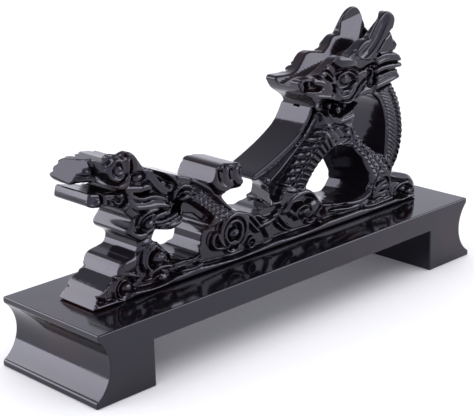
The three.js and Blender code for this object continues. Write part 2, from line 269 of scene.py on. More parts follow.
class Maps:
    """Values over a grid of X and Z, in millimetres, and how to read them between its points."""

    def __init__(self, low, high):
        self.x = np.arange(low[0], high[0], CELL)
        self.z = np.arange(low[1], high[1], CELL)
        self.grid_x, self.grid_z = np.meshgrid(self.x, self.z, indexing="ij")

    def blur(self, values, sigma):
        """A Gaussian blur, with sigma in millimetres."""
        for axis, places in ((0, self.x), (1, self.z)):
            weights = np.exp(-0.5 * ((places[:, None] - places[None, :]) / sigma) ** 2)
            weights /= weights.sum(axis=1, keepdims=True)
            values = np.moveaxis(np.tensordot(weights, values, axes=(1, axis)), 0, axis)
        return values

    def window(self, line, reach):
        """Slices of the grid that hold everything within reach of a line."""
        low, high = line.min(axis=0) - reach, line.max(axis=0) + reach
        return (slice(*np.searchsorted(self.x, (low[0], high[0]))),
                slice(*np.searchsorted(self.z, (low[1], high[1]))))

    def read(self, values, x, z):
        """Bilinear values at points."""
        i = np.clip((x - self.x[0]) / CELL, 0, len(self.x) - 1.001)
        j = np.clip((z - self.z[0]) / CELL, 0, len(self.z) - 1.001)
        i0, j0 = i.astype(int), j.astype(int)
        u, v = i - i0, j - j0
        return ((1 - u) * (1 - v) * values[i0, j0] + u * (1 - v) * values[i0 + 1, j0]
                + (1 - u) * v * values[i0, j0 + 1] + u * v * values[i0 + 1, j0 + 1])


# --------------------------------------------------------------------- relief


class Relief:
    """A height map over a side face. Positive stands proud of the face's field.

    A line's width is its full width, and taper is the share of its length that thins out at each end.
    """

    def __init__(self, maps):
        self.maps = maps
        self.height = np.zeros(maps.grid_x.shape)

    def _near(self, line, reach):
        where = self.maps.window(line, reach)
        return where, self.maps.grid_x[where], self.maps.grid_z[where]

    def _inside(self, loop, reach):
        """A closed line's window, with the distance into it: positive inside."""
        where, x, z = self._near(loop, reach)
        distance, _ = line_distance(x, z, np.vstack([loop, loop[:1]]))
        return where, x, z, np.where(inside_loop(x, z, loop), distance, -distance)

    def ridge(self, points, width, height, taper=0.3):
        """Adds a rounded ridge, or with a negative height a groove, that thins out at both ends."""
        line = curve_through(points)
        where, x, z = self._near(line, width)
        distance, along = line_distance(x, z, line)
        ends = end_swell(along, taper)
        half = 0.5 * width * (0.35 + 0.65 * ends)
        round_top = np.clip(1 - (distance / half) ** 2, 0.0, 1.0) ** 0.75
        self.height[where] += height * (0.25 + 0.75 * ends) * round_top

    def ridges(self, lines, width, height, taper=0.3):
        """Adds several ridges alike."""
        for points in lines:
            self.ridge(points, width, height, taper)

    def strand(self, points, width, top=0.6, taper=0.25, fall=0.8):
        """Lays a half-round strand over what is there. top is its crown's height, and fall its roundness."""
        line = curve_through(points)
        where, x, z = self._near(line, width)
        distance, along = line_distance(x, z, line)
        ends = end_swell(along, taper)
        half = 0.5 * width * (0.3 + 0.7 * ends)
        t = np.clip(distance / half, 0.0, 1.0)
        crown = top - 0.5 * (1 - ends) - fall * half * (1 - np.sqrt(1 - t * t))
        self.height[where] = np.where(distance < half, np.maximum(self.height[where], crown),
                                      self.height[where])

    def strands(self, lines, width, top=0.6, taper=0.25, fall=0.8):
        """Lays several strands alike."""
        for points in lines:
            self.strand(points, width, top, taper, fall)

    def coil(self, x, z, radius, turns, width, start, hand, top=0.9, rise=0.5, fall=1.5):
        """A snail of rounded coil, from its outside at angle start to its heart. Angles are degrees."""
        steps = 3 * max(2, round(2 * turns))
        places = np.linspace(0.0, 1.0, steps + 1)
        turn = np.radians(start + hand * 360.0 * turns * places)
        reach = radius * (1 - 0.86 * places)
        points = np.stack([x + reach * np.cos(turn), z + reach * np.sin(turn)], axis=1)
        for first in range(0, steps - 1, 2):
            share = places[first]
            self.strand(points[first:first + 4], width * (1 - 0.45 * share), top + rise * share, 0.0, fall)
        self.boss(x, z, 0.24 * radius, 0.22 * radius, top + 1.3 * rise)

    def boss(self, x, z, long, short, top, turn=0.0, fall=0.9):
        """Lays an oval boss over what is there, with its crown at height top."""
        where, u, v = self._oval(x, z, long, short, turn)
        t = np.clip(np.sqrt(u * u + v * v), 0.0, 1.0)
        crown = top - fall * min(long, short) * (1 - np.sqrt(1 - t * t))
        self.height[where] = np.where(t < 1, np.maximum(self.height[where], crown), self.height[where])

    def dome(self, x, z, long, short, height, turn=0.0, power=0.5):
        """Adds an oval bump, or with a negative height a hollow. long and short are radii."""
        where, u, v = self._oval(x, z, long, short, turn)
        self.height[where] += height * np.clip(1 - u * u - v * v, 0.0, 1.0) ** power

    def _oval(self, x, z, long, short, turn):
        where, px, pz = self._near(np.array([[x, z]]), max(long, short))
        c, s = math.cos(math.radians(turn)), math.sin(math.radians(turn))
        return where, ((px - x) * c + (pz - z) * s) / long, ((pz - z) * c - (px - x) * s) / short

    def ring(self, x, z, radius, width, height, start=0.0, sweep=360.0):
        """Adds a rounded ridge or groove along a circle's arc. Angles are degrees, anticlockwise."""
        self.ridge(arc(x, z, radius, start, sweep), width, height, 0.0 if sweep >= 360.0 else 0.3)

    def level(self, points, height, soft=0.6, smooth=True):
        """Adds height to an area, with a soft edge."""
        loop = curve_through(list(points) + [points[0]])[:-1] if smooth else np.array(points, float)
        where, x, z, depth = self._inside(loop, 2 * soft)
        self.height[where] += height * ramp(depth, -soft, soft)

    def tilt(self, points, centre, slope_x, slope_z, soft=1.5):
        """Leans an area about its centre: a positive slope_z makes its top stand proud."""
        loop = curve_through(list(points) + [points[0]])[:-1]
        where, x, z, depth = self._inside(loop, 2 * soft)
        lean = slope_x * (x - centre[0]) + slope_z * (z - centre[1])
        self.height[where] += lean * ramp(depth, 0.0, soft)

    def band(self, upper, lower, pattern, fade=0.08):
        """Adds pattern(u, v) between two lines: u is 0 to 1 along them and v is 0 to 1 across."""
        first, second = curve_through(upper), curve_through(lower)
        loop = np.vstack([first, second[::-1]])
        where, x, z = self._near(loop, 0.5)
        d1, t1 = line_distance(x, z, first)
        d2, t2 = line_distance(x, z, second)
        v = d1 / (d1 + d2 + 1e-9)
        u = (1 - v) * t1 + v * t2
        inside = inside_loop(x, z, loop)
        ends = np.clip(np.minimum(u, 1 - u) / fade, 0.0, 1.0)
        self.height[where] += np.where(inside, ends * pattern(u, v), 0.0)

    def ribs(self, upper, lower, count, depth, slant=0.0, fade=0.04):
        """Rounded ribs that cross between two lines, like belly plates, each one closed at both ends."""
        def pattern(u, v):
            rib = np.sqrt(np.abs(np.sin(math.pi * (count * u + slant * v))))
            return depth * (np.minimum(rib, np.sqrt(np.clip(5.0 * v * (1 - v), 0.0, 1.0))) - 0.8)
        self.band(upper, lower, pattern, fade)

    def scales(self, upper, lower, columns, rows, height):
        """Overlapping scales, each one proud at its rounded end."""
        def pattern(u, v):
            row = np.floor(rows * v)
            along = columns * u + 0.5 * (row % 2)
            across = rows * v - row - 0.5
            place = np.mod(along - 0.35 * (1 - 4 * across ** 2), 1.0)
            return height * (place ** 1.3 - 0.4) * (1 - 2.0 * across ** 2)
        self.band(upper, lower, pattern)


def end_swell(along, taper):
    """How full a strand is at each place along it: 1 in the middle, and falling to 0 at both ends."""
    if not taper:
        return np.ones(along.shape)
    ends = np.clip(np.minimum(along, 1 - along) / taper, 0.0, 1.0)
    return np.sqrt(ends * (2 - ends))


def arc(x, z, radius, start, sweep):
    """Points along a circle's arc. Angles are in degrees."""
    turns = np.radians(np.linspace(start, start + sweep, 13))
    return np.stack([x + radius * np.cos(turns), z + radius * np.sin(turns)], axis=1)


# --------------------------------------------------------- what each block is

# half: from the middle plane to a side face. crown: how far from the carving's own edge its face rounds
# down, and by how much.
BLOCKS = {
    "left_cloud": dict(half=11.5, crown=(2.5, 0.9)),
    "middle_cloud": dict(half=11.4, crown=(1.5, 0.5)),
    "centre_cloud": dict(half=11.4, crown=(1.5, 0.5)),
    "low_cloud": dict(half=11.4, crown=(1.5, 0.5)),
    "right_cloud": dict(half=11.5, crown=(2.5, 0.9)),
    "tail_stem": dict(half=11.4, crown=(2.4, 0.9)),
    "lower_jaw": dict(half=11.4, crown=(1.5, 0.6)),
    "upper_jaw": dict(half=11.2, crown=(1.5, 0.6)),
    "mane_strands": dict(half=11.3, crown=(1.2, 0.5)),
    "scaled_tail": dict(half=11.4, crown=(1.2, 0.5)),
    "claw": dict(half=12.0, crown=(2.0, 1.0)),
    "forearm": dict(half=7.6, back=12.2, crown=(0, 0)),
    "body_rise": dict(half=11.4, crown=(1.0, 0.4)),
    "foreleg": dict(half=11.4, crown=(2.2, 0.9)),
    "back_loop": dict(half=11.9, crown=(2.6, 1.4)),
    "skull": dict(half=10.9, crown=(1.0, 0.4)),
    "jaw_and_beard": dict(half=11.4, crown=(1.2, 0.6)),
    "front_horn": dict(half=12.2, crown=(1.6, 0.7)),
    "back_horn": dict(half=12.2, crown=(1.6, 0.7)),
    "mane_lock_top": dict(half=12.1, crown=(1.6, 0.9)),
    "mane_lock_upper": dict(half=12.0, crown=(1.6, 0.9)),
    "mane_lock_lower": dict(half=12.0, crown=(1.6, 0.9)),
    "mane_lock_bottom": dict(half=12.0, crown=(1.6, 0.9)),
}
HORN_PAIR = ("front_horn", "back_horn")


def carve_foot(face):
    """The strip that the clouds stand on, with its worn top edge."""
    edge = [(-106, 33.4), (-92, 33.2), (-84, 34.2), (-72, 33.2), (-60, 34.4), (-50, 35.2), (-40, 34.2),
            (-24, 33.0), (-8, 33.6), (6, 34.6), (30, 34.2), (38, 34.8), (62, 34.8), (72, 33.6), (90, 34.0),
            (103, 33.2)]
    face.level([(-107, 30), *edge, (105, 30)], 1.0, 0.5, smooth=False)
    face.ridge([(x, z + 1.0) for x, z in edge], 1.5, -1.2, 0.02)


def carve_left_cloud(face):
    """Two big scrolls with wave tips, at the tail end."""
    face.level([(-81, 50.4), (-60.4, 50.4), (-60.4, 35), (-81, 35)], -1.6, 0.6)
    face.dome(-86.4, 46.6, 6.8, 4.0, 1.2, turn=8, power=0.7)
    face.ridge([(-95, 43.2), (-89, 42.6), (-84, 40.8), (-79, 38.6)], 1.4, -1.8, 0.1)
    face.strand([(-94, 44.2), (-89, 43.7), (-84, 41.8), (-79.4, 39.6)], 1.5, 1.0)
    face.strand([(-95.6, 41.6), (-90, 41.4), (-85, 40.0), (-80.6, 38.0)], 1.3, 0.8)
    face.dome(-88.6, 36.9, 6.2, 5.0, -2.4, power=0.3)
    face.strand(arc(-88.4, 36.9, 5.9, 20, 200), 1.9, 0.9)
    face.strand(arc(-88.2, 36.8, 3.7, 60, 200), 1.2, 0.1)
    face.boss(-87.4, 36.8, 3.1, 2.6, 1.0)
    face.strand([(-97.2, 41.4), (-99.6, 37.6), (-98.6, 34)], 2.4, 0.9)
    face.ridge([(-99.8, 41), (-101.8, 37.4), (-101, 33.8)], 1.2, -2.2)
    face.strand([(-102.4, 38.8), (-104, 35.6), (-103.6, 33)], 1.7, 0.7)
    face.dome(-69.6, 45.6, 8.8, 7.4, -1.0, power=0.3)
    face.strand(arc(-69.8, 45.4, 8.0, -20, 230), 2.0, 0.9, 0.15)
    face.strand(arc(-70.2, 45.2, 5.6, 70, 190), 2.2, 0.4)
    face.ring(-69.4, 45.4, 4.6, 1.2, -1.4, 20, 330)
    face.boss(-68.6, 45.2, 3.9, 3.2, 1.3, turn=10)
    face.ridge([(-70.8, 47.4), (-68.2, 46.4), (-65.8, 46.6)], 0.7, -0.8)
    face.strand([(-75.4, 39.0), (-71, 40.6), (-66, 40.8), (-60.6, 39.4)], 2.3, 0.9)
    face.boss(-75.2, 37.4, 2.4, 0.9, 0.7)
    face.strand([(-72.8, 36.6), (-69, 37.6), (-64.6, 37.0)], 1.1, 0.3)
    face.boss(-67.3, 35.8, 2.5, 1.5, 1.1)
    face.strand([(-80.6, 50), (-81.2, 44), (-80.8, 38)], 1.3, 0.2)


def carve_middle_cloud(face):
    """The largest scroll, with hair that streams down to its right."""
    face.level([(-61, 43), (-47, 43), (-47, 35.6), (-61, 35.6)], -1.8, 0.6)
    face.strand([(-62, 40.2), (-54, 40.0), (-50, 39.6), (-44.6, 40.6)], 1.5, 0.9)
    face.strand([(-57.6, 36.0), (-50, 35.5), (-42.6, 36.2)], 1.9, 1.1)
    face.level([(-43, 50), (-36, 51), (-22, 53), (-9, 48), (-5.6, 42), (-6, 35), (-40, 35), (-44, 40)],
               -1.9, 0.6)
    face.strand(arc(-24.2, 45.4, 7.9, -70, 290), 2.3, 0.9, 0.15)
    face.strand(arc(-24.2, 45.2, 5.3, 0, 360), 2.4, 0.7, 0.0)
    face.ring(-24.2, 45.0, 3.9, 1.0, -1.0, 30, 330)
    face.boss(-24.2, 44.8, 3.1, 2.4, 1.3, turn=12)
    face.ridge([(-26.4, 44.6), (-24.6, 45.9), (-22.4, 45.6)], 0.8, -0.9)
    face.strand([(-34.6, 47.9), (-36.8, 45.8), (-37.4, 42.8), (-35.6, 40.6), (-31.0, 39.4), (-28.6, 39.4)],
                1.9, 0.8, 0.15)
    face.strand([(-33.9, 47.4), (-33.7, 44.4), (-32.0, 41.6), (-29.4, 39.8)], 1.5, 1.0)
    face.strand(arc(-25.0, 37.8, 3.4, 0, 180), 1.4, 0.7, 0.2)
    face.strand([(-29.4, 37.9), (-25.4, 36.3), (-20.8, 38.2)], 1.5, 0.8)
    face.boss(-25.2, 37.5, 1.6, 0.6, 0.2)
    face.strand(arc(-13.4, 37.5, 2.3, 0, 360), 1.3, 0.3, 0.0)
    face.boss(-13.4, 37.5, 1.0, 0.9, 0.5)
    hair = [[(-25.6, 55.4), (-18.6, 52.2), (-14.4, 47.6), (-10.4, 43.0), (-8.0, 41.2)],
            [(-23.6, 55.8), (-17.0, 53.2), (-11.6, 48.4), (-8.4, 44.6), (-6.4, 42.8)],
            [(-18.6, 54.0), (-12.6, 51.4), (-7.4, 48.2), (-4.4, 46.2)]]
    face.strands(hair, 2.1, 0.8)
    face.level([(-7, 49.6), (-2, 50.6), (5, 50.8), (5, 47.2), (-3, 46.6)], -2.6)
    face.strand([(-9.0, 43.6), (-6.6, 44.2), (-3.0, 44.4), (0.2, 45.3), (2.0, 45.2)], 2.2, 1.0, 0.12)


def carve_centre_cloud(face):
    """The scroll under the body, with a curl inside it."""
    face.level([(2, 47), (10, 50.6), (22, 53.8), (30, 47.6), (34.6, 43), (34, 35), (2, 35)], -1.7, 0.6)
    face.strand([(10.6, 45.6), (11.2, 49.4), (14.6, 51.9), (21.0, 53.0), (26.6, 52.0), (30.2, 48.4),
                 (31.2, 44)], 2.5, 0.9, 0.12)
    face.strand([(7.6, 46.4), (10.0, 46.8), (13.2, 45.2), (14.4, 43.0)], 3.2, 0.4)
    face.level([(14.6, 50), (22, 51.4), (27.4, 49.4), (25, 46.6), (19, 48.2), (15.2, 46)], -1.6, 0.5)
    face.strand([(17.0, 40.6), (15.8, 42.8), (16.5, 45.2), (19.0, 46.7), (22.4, 46.7), (24.6, 45.0)], 1.6,
                1.2, 0.15)
    face.boss(21.4, 42.9, 3.8, 2.8, 1.0, turn=-14)
    face.boss(21.6, 44.1, 2.3, 1.2, 1.8, turn=8)
    face.boss(28.3, 43.2, 5.4, 4.9, 0.8, fall=0.45)
    face.ridge([(24.8, 46.6), (25.8, 42.8), (24.0, 39.6)], 1.0, -1.4)
    face.strand([(22.6, 38.6), (25.4, 37.4), (29.0, 38.2)], 1.5, 0.7)
    face.boss(32.4, 36.3, 2.1, 1.2, 1.1)
    face.ring(33.4, 38.6, 4.8, 1.3, -1.8, 10, 200)
    face.strand(arc(34.2, 38.6, 4.2, -30, 190), 1.5, 0.6)
    face.strands([[(5.0, 45.2), (8.4, 41.0), (13.8, 37.4)], [(2.4, 43.4), (6.2, 39.8), (11.6, 36.6)]], 1.5,
                 0.9)


def carve_right_clouds(face):
    """Low waves under the arch, the toes of the foreleg and the end scroll."""
    face.level([(34, 43), (50, 40.4), (66, 40), (68, 36), (34, 36)], -1.8, 0.6)
    face.strand([(33.6, 44.0), (38.0, 42.9), (40.4, 42.6)], 1.5, 0.9)
    face.strand([(40.6, 42.8), (45, 41.7), (50.4, 41.5)], 1.5, 0.9)
    face.strand([(50.4, 40.9), (56, 39.7), (62, 39.5), (66.6, 40.9), (70.6, 44.2), (75.0, 48.4)], 2.4, 1.1,
                0.12)
    face.strand([(39.6, 39.4), (46, 38.6), (54, 37.4), (62, 37.4), (68, 38.8)], 1.7, 0.3)
    face.strand([(44, 36.7), (52, 36.1), (62, 36.2)], 1.3, 0.1)
    face.level([(69.4, 45.6), (82, 46.6), (82.6, 38), (76, 36.8), (69.6, 38)], -1.2, 0.6)
    toes = [[(71.6, 42.6), (75.4, 44.4), (80.4, 45.6)], [(70.6, 40.4), (74.6, 42.2), (81.6, 43.2)],
            [(70.6, 37.8), (71.8, 39.7), (76.0, 39.9), (81.6, 40.1)]]
    face.strands(toes, 2.3, 1.2, 0.2)
    face.strand([(72.0, 36.8), (76, 37.3), (79.6, 36.6)], 1.4, 0.3)
    face.dome(94.0, 37.6, 7.6, 4.6, -2.4, power=0.3)
    face.strand([(86.6, 37.2), (88.2, 39.6), (92.4, 41.0), (97.6, 40.6), (101.6, 37.4)], 1.9, 0.9, 0.15)
    face.strand([(84.2, 46.8), (91.4, 44.3), (98.2, 42.2), (102.2, 38.6)], 2.2, 0.9)
    face.ridge([(84.6, 44.4), (91, 42.8), (97, 42)], 1.1, -1.6)
    face.boss(93.4, 38.0, 2.5, 1.9, 0.9, turn=-10)
    face.boss(98.5, 35.4, 2.3, 2.1, 1.0)
    face.strand([(84.6, 42.6), (84.0, 39), (86.0, 35.6)], 1.6, 0.4)


def carve_mask(face):
    """The beast's mask at the tail end: nose, cheek scroll, ear and open jaws."""
    face.level([(-108, 92), (-95, 94), (-94.6, 83.6), (-106, 83.6)], -1.0, 0.5)
    face.strand([(-107.0, 86.8), (-103.4, 85.0), (-99.0, 84.6), (-95.0, 85.4)], 2.4, 0.4, 0.2)
    face.strand([(-101.6, 91.6), (-100.8, 88.6), (-98.4, 87.2), (-96.0, 88.2)], 1.9, 0.4, 0.2)
    face.strand([(-98.0, 92.6), (-97.6, 90.4), (-95.4, 90.0)], 1.7, 0.2, 0.2)
    face.boss(-103.6, 88.4, 2.2, 1.5, 0.1, turn=-30)
    face.ridge([(-94.8, 96.4), (-95.6, 91.8), (-95.4, 88), (-92.8, 83.6)], 2.2, -3.0, 0.1)
    face.level([(-94.6, 91), (-91, 96.6), (-85, 95.6), (-81.4, 91), (-82.0, 84.6), (-88.6, 82.4),
                (-93.6, 85)], -2.2, 0.5)
    face.coil(-88.2, 88.8, 5.9, 1.8, 3.3, 20, -1, 0.2, 0.8)
    face.ridge([(-95.2, 87.0), (-93.0, 84.2), (-89.4, 82.7), (-85.6, 83.7), (-83.4, 86.0)], 1.3, -2.4, 0.1)
    face.strand([(-97.6, 85.4), (-95.6, 82.4), (-91.6, 80.9), (-88.0, 80.8), (-84.4, 82.3), (-82.6, 85.0)],
                3.7, 1.0, 0.3, 0.7)
    face.ridge([(-102.4, 83.6), (-97.6, 81.2), (-93.0, 79.2), (-87.6, 78.6), (-83.4, 79.6), (-81.6, 82.0)],
               1.1, -1.9)
    face.ridge([(-84.6, 95.4), (-81.6, 92.0), (-80.9, 87.4), (-82.0, 83.2)], 0.9, -1.9, 0.1)
    face.strand([(-83.0, 95.0), (-79.6, 91.6), (-78.6, 87.2), (-79.6, 85.4)], 3.4, 0.3, 0.2, 0.5)
    face.level([(-81.6, 85.2), (-77.6, 85.2), (-74.8, 84.0), (-75.4, 81.2), (-80.4, 80.6), (-82.4, 82.4)],
               -1.6, 0.5)
    face.boss(-78.5, 82.9, 2.9, 1.7, 1.0, turn=8)
    face.strand([(-76.6, 86.0), (-74.2, 84.0), (-74.0, 81.4), (-76.4, 80.1), (-80.2, 80.3)], 1.2, 0.6)
    face.strand([(-104.2, 81.0), (-101.6, 81.7), (-98.8, 80.7)], 2.2, 0.1)
    face.boss(-100.5, 77.3, 2.0, 1.5, 0.9, turn=20)
    face.strand([(-105.2, 77.4), (-102.4, 76.2), (-98.6, 75.7)], 1.4, 0.4)
    face.ridge([(-98.2, 80.4), (-97.9, 76.4)], 1.5, -3.4, 0)
    face.boss(-95.8, 78.6, 1.2, 1.9, 0.5)
    face.level([(-94.6, 79.8), (-84.6, 78.8), (-84.0, 74), (-86.4, 71.6), (-91.4, 72), (-94.4, 75)], -2.2,
               0.5)
    face.strand([(-93.3, 76.0), (-92.2, 72.9), (-89.0, 71.3), (-85.8, 71.9), (-84.2, 73.8)], 2.7, 0.9, 0.3,
                0.7)
    face.strand([(-91.2, 76.2), (-89.8, 74.4), (-87.6, 74.2), (-86.4, 76.2)], 1.4, -0.2)
    face.boss(-87.6, 77.2, 2.0, 1.5, 0.1)


def carve_mane_strands(face):
    """Ribbons of mane behind the mask."""
    face.level([(-84.6, 80), (-74, 80.4), (-66, 77), (-60, 72), (-60, 65.4), (-70, 66.4), (-80, 68.4),
                (-84, 74)], -1.6, 0.6)
    face.strand([(-85.6, 79.6), (-81.4, 78.6), (-77.6, 77.8), (-73.8, 77.8), (-71.4, 76.6)], 3.4, 0.9, 0.3,
                0.6)
    face.ridge([(-80.0, 75.5), (-75.4, 74.8), (-71.4, 75.5), (-70.0, 76.6)], 1.3, -2.4)
    face.strand([(-85.0, 78.4), (-81.6, 75.4), (-76.6, 73.3), (-70.6, 72.9), (-66.0, 71.2), (-62.6, 69.6)],
                2.3, 0.8, 0.15)
    face.strand([(-84.6, 76.6), (-81.2, 72.6), (-76.0, 71.0), (-69.4, 70.7), (-63.6, 68.4)], 1.7, 0.4, 0.15)
    face.strand([(-84.0, 74.6), (-80.6, 70.6), (-74.4, 69.1), (-67.6, 68.3), (-61.4, 66.3)], 2.9, 0.7, 0.12)
    face.ridge([(-60.0, 72.0), (-60.1, 68.6), (-60.4, 65.0)], 1.0, -1.6, 0.1)
    face.ridge([(-77.6, 67.4), (-70.6, 66.6), (-64.4, 65.1), (-60.6, 64.5)], 1.1, -2.0)
    face.level([(-74.6, 87.4), (-67, 85), (-57.6, 80.4), (-57, 74), (-62, 71), (-67, 74.6), (-72, 80)],
               -1.4, 0.6)
    hair = [[(-75.8, 86.4), (-72.0, 80.6), (-67.4, 75.2), (-62.6, 71.8)],
            [(-74.2, 86.2), (-70.4, 80.8), (-66.0, 76.0), (-60.6, 72.6)],
            [(-72.2, 85.4), (-69.4, 81.2), (-65.2, 77.0), (-59.6, 73.4)],
            [(-64.4, 82.8), (-60.6, 79.8), (-57.4, 76.6), (-56.0, 73.8)],
            [(-71.6, 85.6), (-65.6, 83.2), (-60.4, 80.6), (-56.4, 78.8)]]
    face.strands(hair, 1.8, 0.7, 0.15)
    face.level([(-69.4, 83.2), (-65.0, 81.4), (-60.4, 77.4), (-58.8, 74.6), (-61.6, 74.6), (-66.0, 78.4)],
               -2.2, 0.5)
    face.boss(-64.3, 77.6, 2.0, 0.9, 0.3, turn=-38)
    face.boss(-60.2, 75.3, 2.0, 0.9, 0.3, turn=-36)


def carve_stem(face):
    """The curl that the mask stands on, with strands that stream off it."""
    face.level([(-83, 66), (-72, 67.4), (-58, 64.6), (-52, 60.6), (-56, 57.4), (-70, 57.4), (-79, 56),
                (-84, 60)], -1.6, 0.6)
    face.strand([(-81.6, 65.4), (-84.0, 61.8), (-82.6, 58.6), (-79.0, 57.0), (-74.6, 57.3)], 4.0, 0.8, 0.25,
                0.6)
    face.level([(-79.4, 63.0), (-76.2, 63.6), (-75.8, 60), (-78.6, 59.6)], -1.6, 0.5)
    face.boss(-73.4, 61.2, 2.7, 2.5, 1.0)
    face.strand([(-79.8, 62.6), (-77.4, 65.6), (-72.4, 67.0), (-67.6, 66.4)], 1.7, 0.8)
    face.strand([(-77.6, 62.0), (-75.6, 64.2), (-71.6, 65.2), (-69.6, 64.9)], 1.2, 0.2)
    face.strand([(-72.2, 63.0), (-68.0, 64.1), (-62.6, 64.3)], 2.8, 0.9, 0.35)
    face.strand([(-71.0, 61.4), (-65.6, 60.9), (-59.6, 61.7), (-54.6, 64.0)], 2.0, 0.6, 0.15)
    face.strand([(-69.0, 59.6), (-62.6, 59.0), (-57.0, 60.4), (-52.8, 62.4)], 1.8, 0.3, 0.15)
    face.strand([(-62.6, 57.6), (-57.6, 57.9), (-53.6, 59.4), (-51.0, 61.2)], 2.4, 0.8, 0.3)
    face.boss(-66.0, 57.9, 1.7, 0.8, 0.4)
    face.boss(-76.2, 54.1, 3.0, 1.3, 0.8)


def carve_scaled_tail(face):
    """A scaled neck that dives into the middle cloud."""
    face.level([(-59, 65.6), (-50, 65.6), (-43.6, 61.6), (-36.4, 55.0), (-40.4, 52.6), (-46.4, 57.2),
                (-54, 60.0)], -4.2, 0.8)
    face.level([(-59.4, 66.0), (-59, 72.6), (-54, 74.8), (-49, 73.4), (-45, 69.6), (-50, 65.8)], -1.3, 0.5)
    face.strand([(-59.4, 68.4), (-58.4, 71.8), (-54.6, 73.7), (-50.6, 72.9), (-47.8, 70.8)], 2.1, 0.9, 0.2)
    face.dome(-57.6, 68.4, 1.6, 1.9, -1.8)
    face.strand([(-56.0, 70.6), (-52.4, 70.9), (-48.6, 69.3)], 1.5, 0.5)
    face.strand([(-55.6, 68.0), (-51.0, 68.3), (-46.6, 66.6)], 2.6, 0.7, 0.3)
    face.scales([(-49.6, 73.4), (-44, 70.4), (-38, 66.0), (-31, 59.4), (-25.6, 55.2)],
                [(-52.6, 66.4), (-47.6, 65.2), (-42, 61.4), (-36, 55.8), (-31.6, 52.0)], 9, 3, 2.0)
    face.strand([(-49.4, 75.6), (-44, 72.4), (-37.4, 67.8), (-31.4, 61.4), (-26, 56.4)], 1.8, 1.0, 0.1)
    face.ridge([(-49.6, 73.8), (-44.2, 70.6), (-38, 65.8), (-32.2, 59.8)], 1.0, -1.8, 0.1)


def carve_claw(face):
    """Three fingers with nails, over the edge of the raised claw."""
    face.level([(-37, 77.6), (-31, 77.8), (-18, 76.4), (-18, 66), (-33, 65.4), (-37.6, 70)], -3.2, 0.8)
    fingers = [[(-34.8, 76.6), (-35.4, 73.0), (-33.8, 69.4), (-29.8, 67.0), (-26.6, 66.6)],
               [(-28.2, 76.2), (-29.0, 73.0), (-27.8, 69.4), (-24.6, 67.2)],
               [(-22.4, 75.2), (-22.9, 72.0), (-21.4, 68.8), (-18.6, 67.4)]]
    face.strands(fingers, 4.3, 0.6, 0.15, 0.8)
    nails = [[(-32.0, 75.4), (-31.6, 72.6), (-30.2, 69.8)], [(-25.6, 74.6), (-25.4, 72.0), (-24.0, 69.2)],
             [(-19.8, 74.0), (-19.6, 71.6), (-18.8, 69.8)]]
    face.strands(nails, 1.8, -0.1, 0.3)
    for x, z in ((-32.0, 77.6), (-25.9, 76.9), (-20.2, 76.0)):
        face.boss(x, z, 3.1, 2.2, 0.6, turn=-12)
    face.ridge([(-36.4, 66.6), (-32.0, 65.4), (-25.0, 65.4), (-18.0, 66.0)], 0.9, -0.9, 0.1)


def carve_body(face):
    """A plain side that leans under the forearm, and two rows of belly plates."""
    plain = [(-4, 61), (-2, 65.4), (6, 68.6), (14, 72.6), (22, 77.2), (29, 83.6), (33, 88), (35, 83),
             (30, 77), (21, 71), (12, 63), (8, 57), (6, 53.4), (1, 54)]
    face.level(plain, -2.6, 1.0)
    face.tilt(plain, (10, 65), -0.35, 0.4)
    outer = [(8.0, 59.6), (13.0, 65.4), (19.0, 71.4), (25.6, 76.2), (33.0, 81.2), (38.4, 83.2)]
    middle = [(13.0, 57.4), (18.0, 62.0), (23.4, 67.4), (29.4, 72.8), (35.6, 77.0), (42.0, 79.8)]
    inner = [(18.6, 54.4), (23.0, 57.0), (27.6, 60.8), (32.0, 64.8), (37.0, 68.4), (43.0, 70.6)]
    face.level(middle + inner[::-1], 0.9, 0.8)
    face.ribs(outer, middle, 8, 3.0, slant=-0.6)
    face.ribs(middle, inner, 11, 3.6, slant=-1.0)
    face.strand([(9.6, 57.0), (13.6, 55.6), (19.0, 54.8), (23.4, 54.6)], 1.6, 0.8)
    face.strand([(6.6, 56.4), (11.0, 54.6), (16.0, 53.8)], 1.5, 0.2)
    face.boss(9.4, 59.4, 2.6, 1.0, 0.4, turn=-24)


def carve_foreleg(face):
    """Shoulder plates and curls at the top, and scales down the leg."""
    face.level([(41, 81.6), (50, 79.6), (56, 76), (53, 71.4), (42, 71.4)], -1.2, 0.6)
    plates = [[(36.8, 78.2), (40.0, 74.6), (42.4, 72.2)], [(40.0, 79.4), (43.2, 75.6), (46.0, 73.2)],
              [(44.0, 79.6), (46.4, 76.8), (49.2, 74.4)]]
    face.strands(plates, 3.4, 0.6, 0.25, 0.6)
    face.boss(51.8, 75.0, 2.4, 1.9, 0.9)
    curls = [[(51.0, 79.4), (54.6, 77.6), (56.4, 74.2), (56.6, 71.4)],
             [(54.0, 79.4), (57.2, 76.6), (59.0, 72.8)],
             [(49.6, 77.6), (52.6, 77.4), (54.2, 75.0), (54.4, 72.6)]]
    face.strands(curls, 1.4, 0.6, 0.2)
    face.scales([(57.6, 75.6), (62, 71.6), (68, 66.2), (74, 61.6), (79.6, 56.6), (84, 51.0)],
                [(53.6, 70.2), (58.6, 66.8), (64.4, 61.2), (69.6, 54.4), (73.0, 49.4), (76.4, 46.6)], 10, 3,
                2.2)
    face.strands([[(73.0, 63.0), (78.4, 57.8), (82.6, 52.6)], [(75.6, 61.6), (80.6, 55.8), (84.0, 51.0)]],
                 1.5, 0.9, 0.2)
    for x, z in ((58.6, 69.6), (63.6, 66.6), (66.6, 63.4)):
        face.boss(x, z, 1.5, 1.0, 1.1, turn=-35)


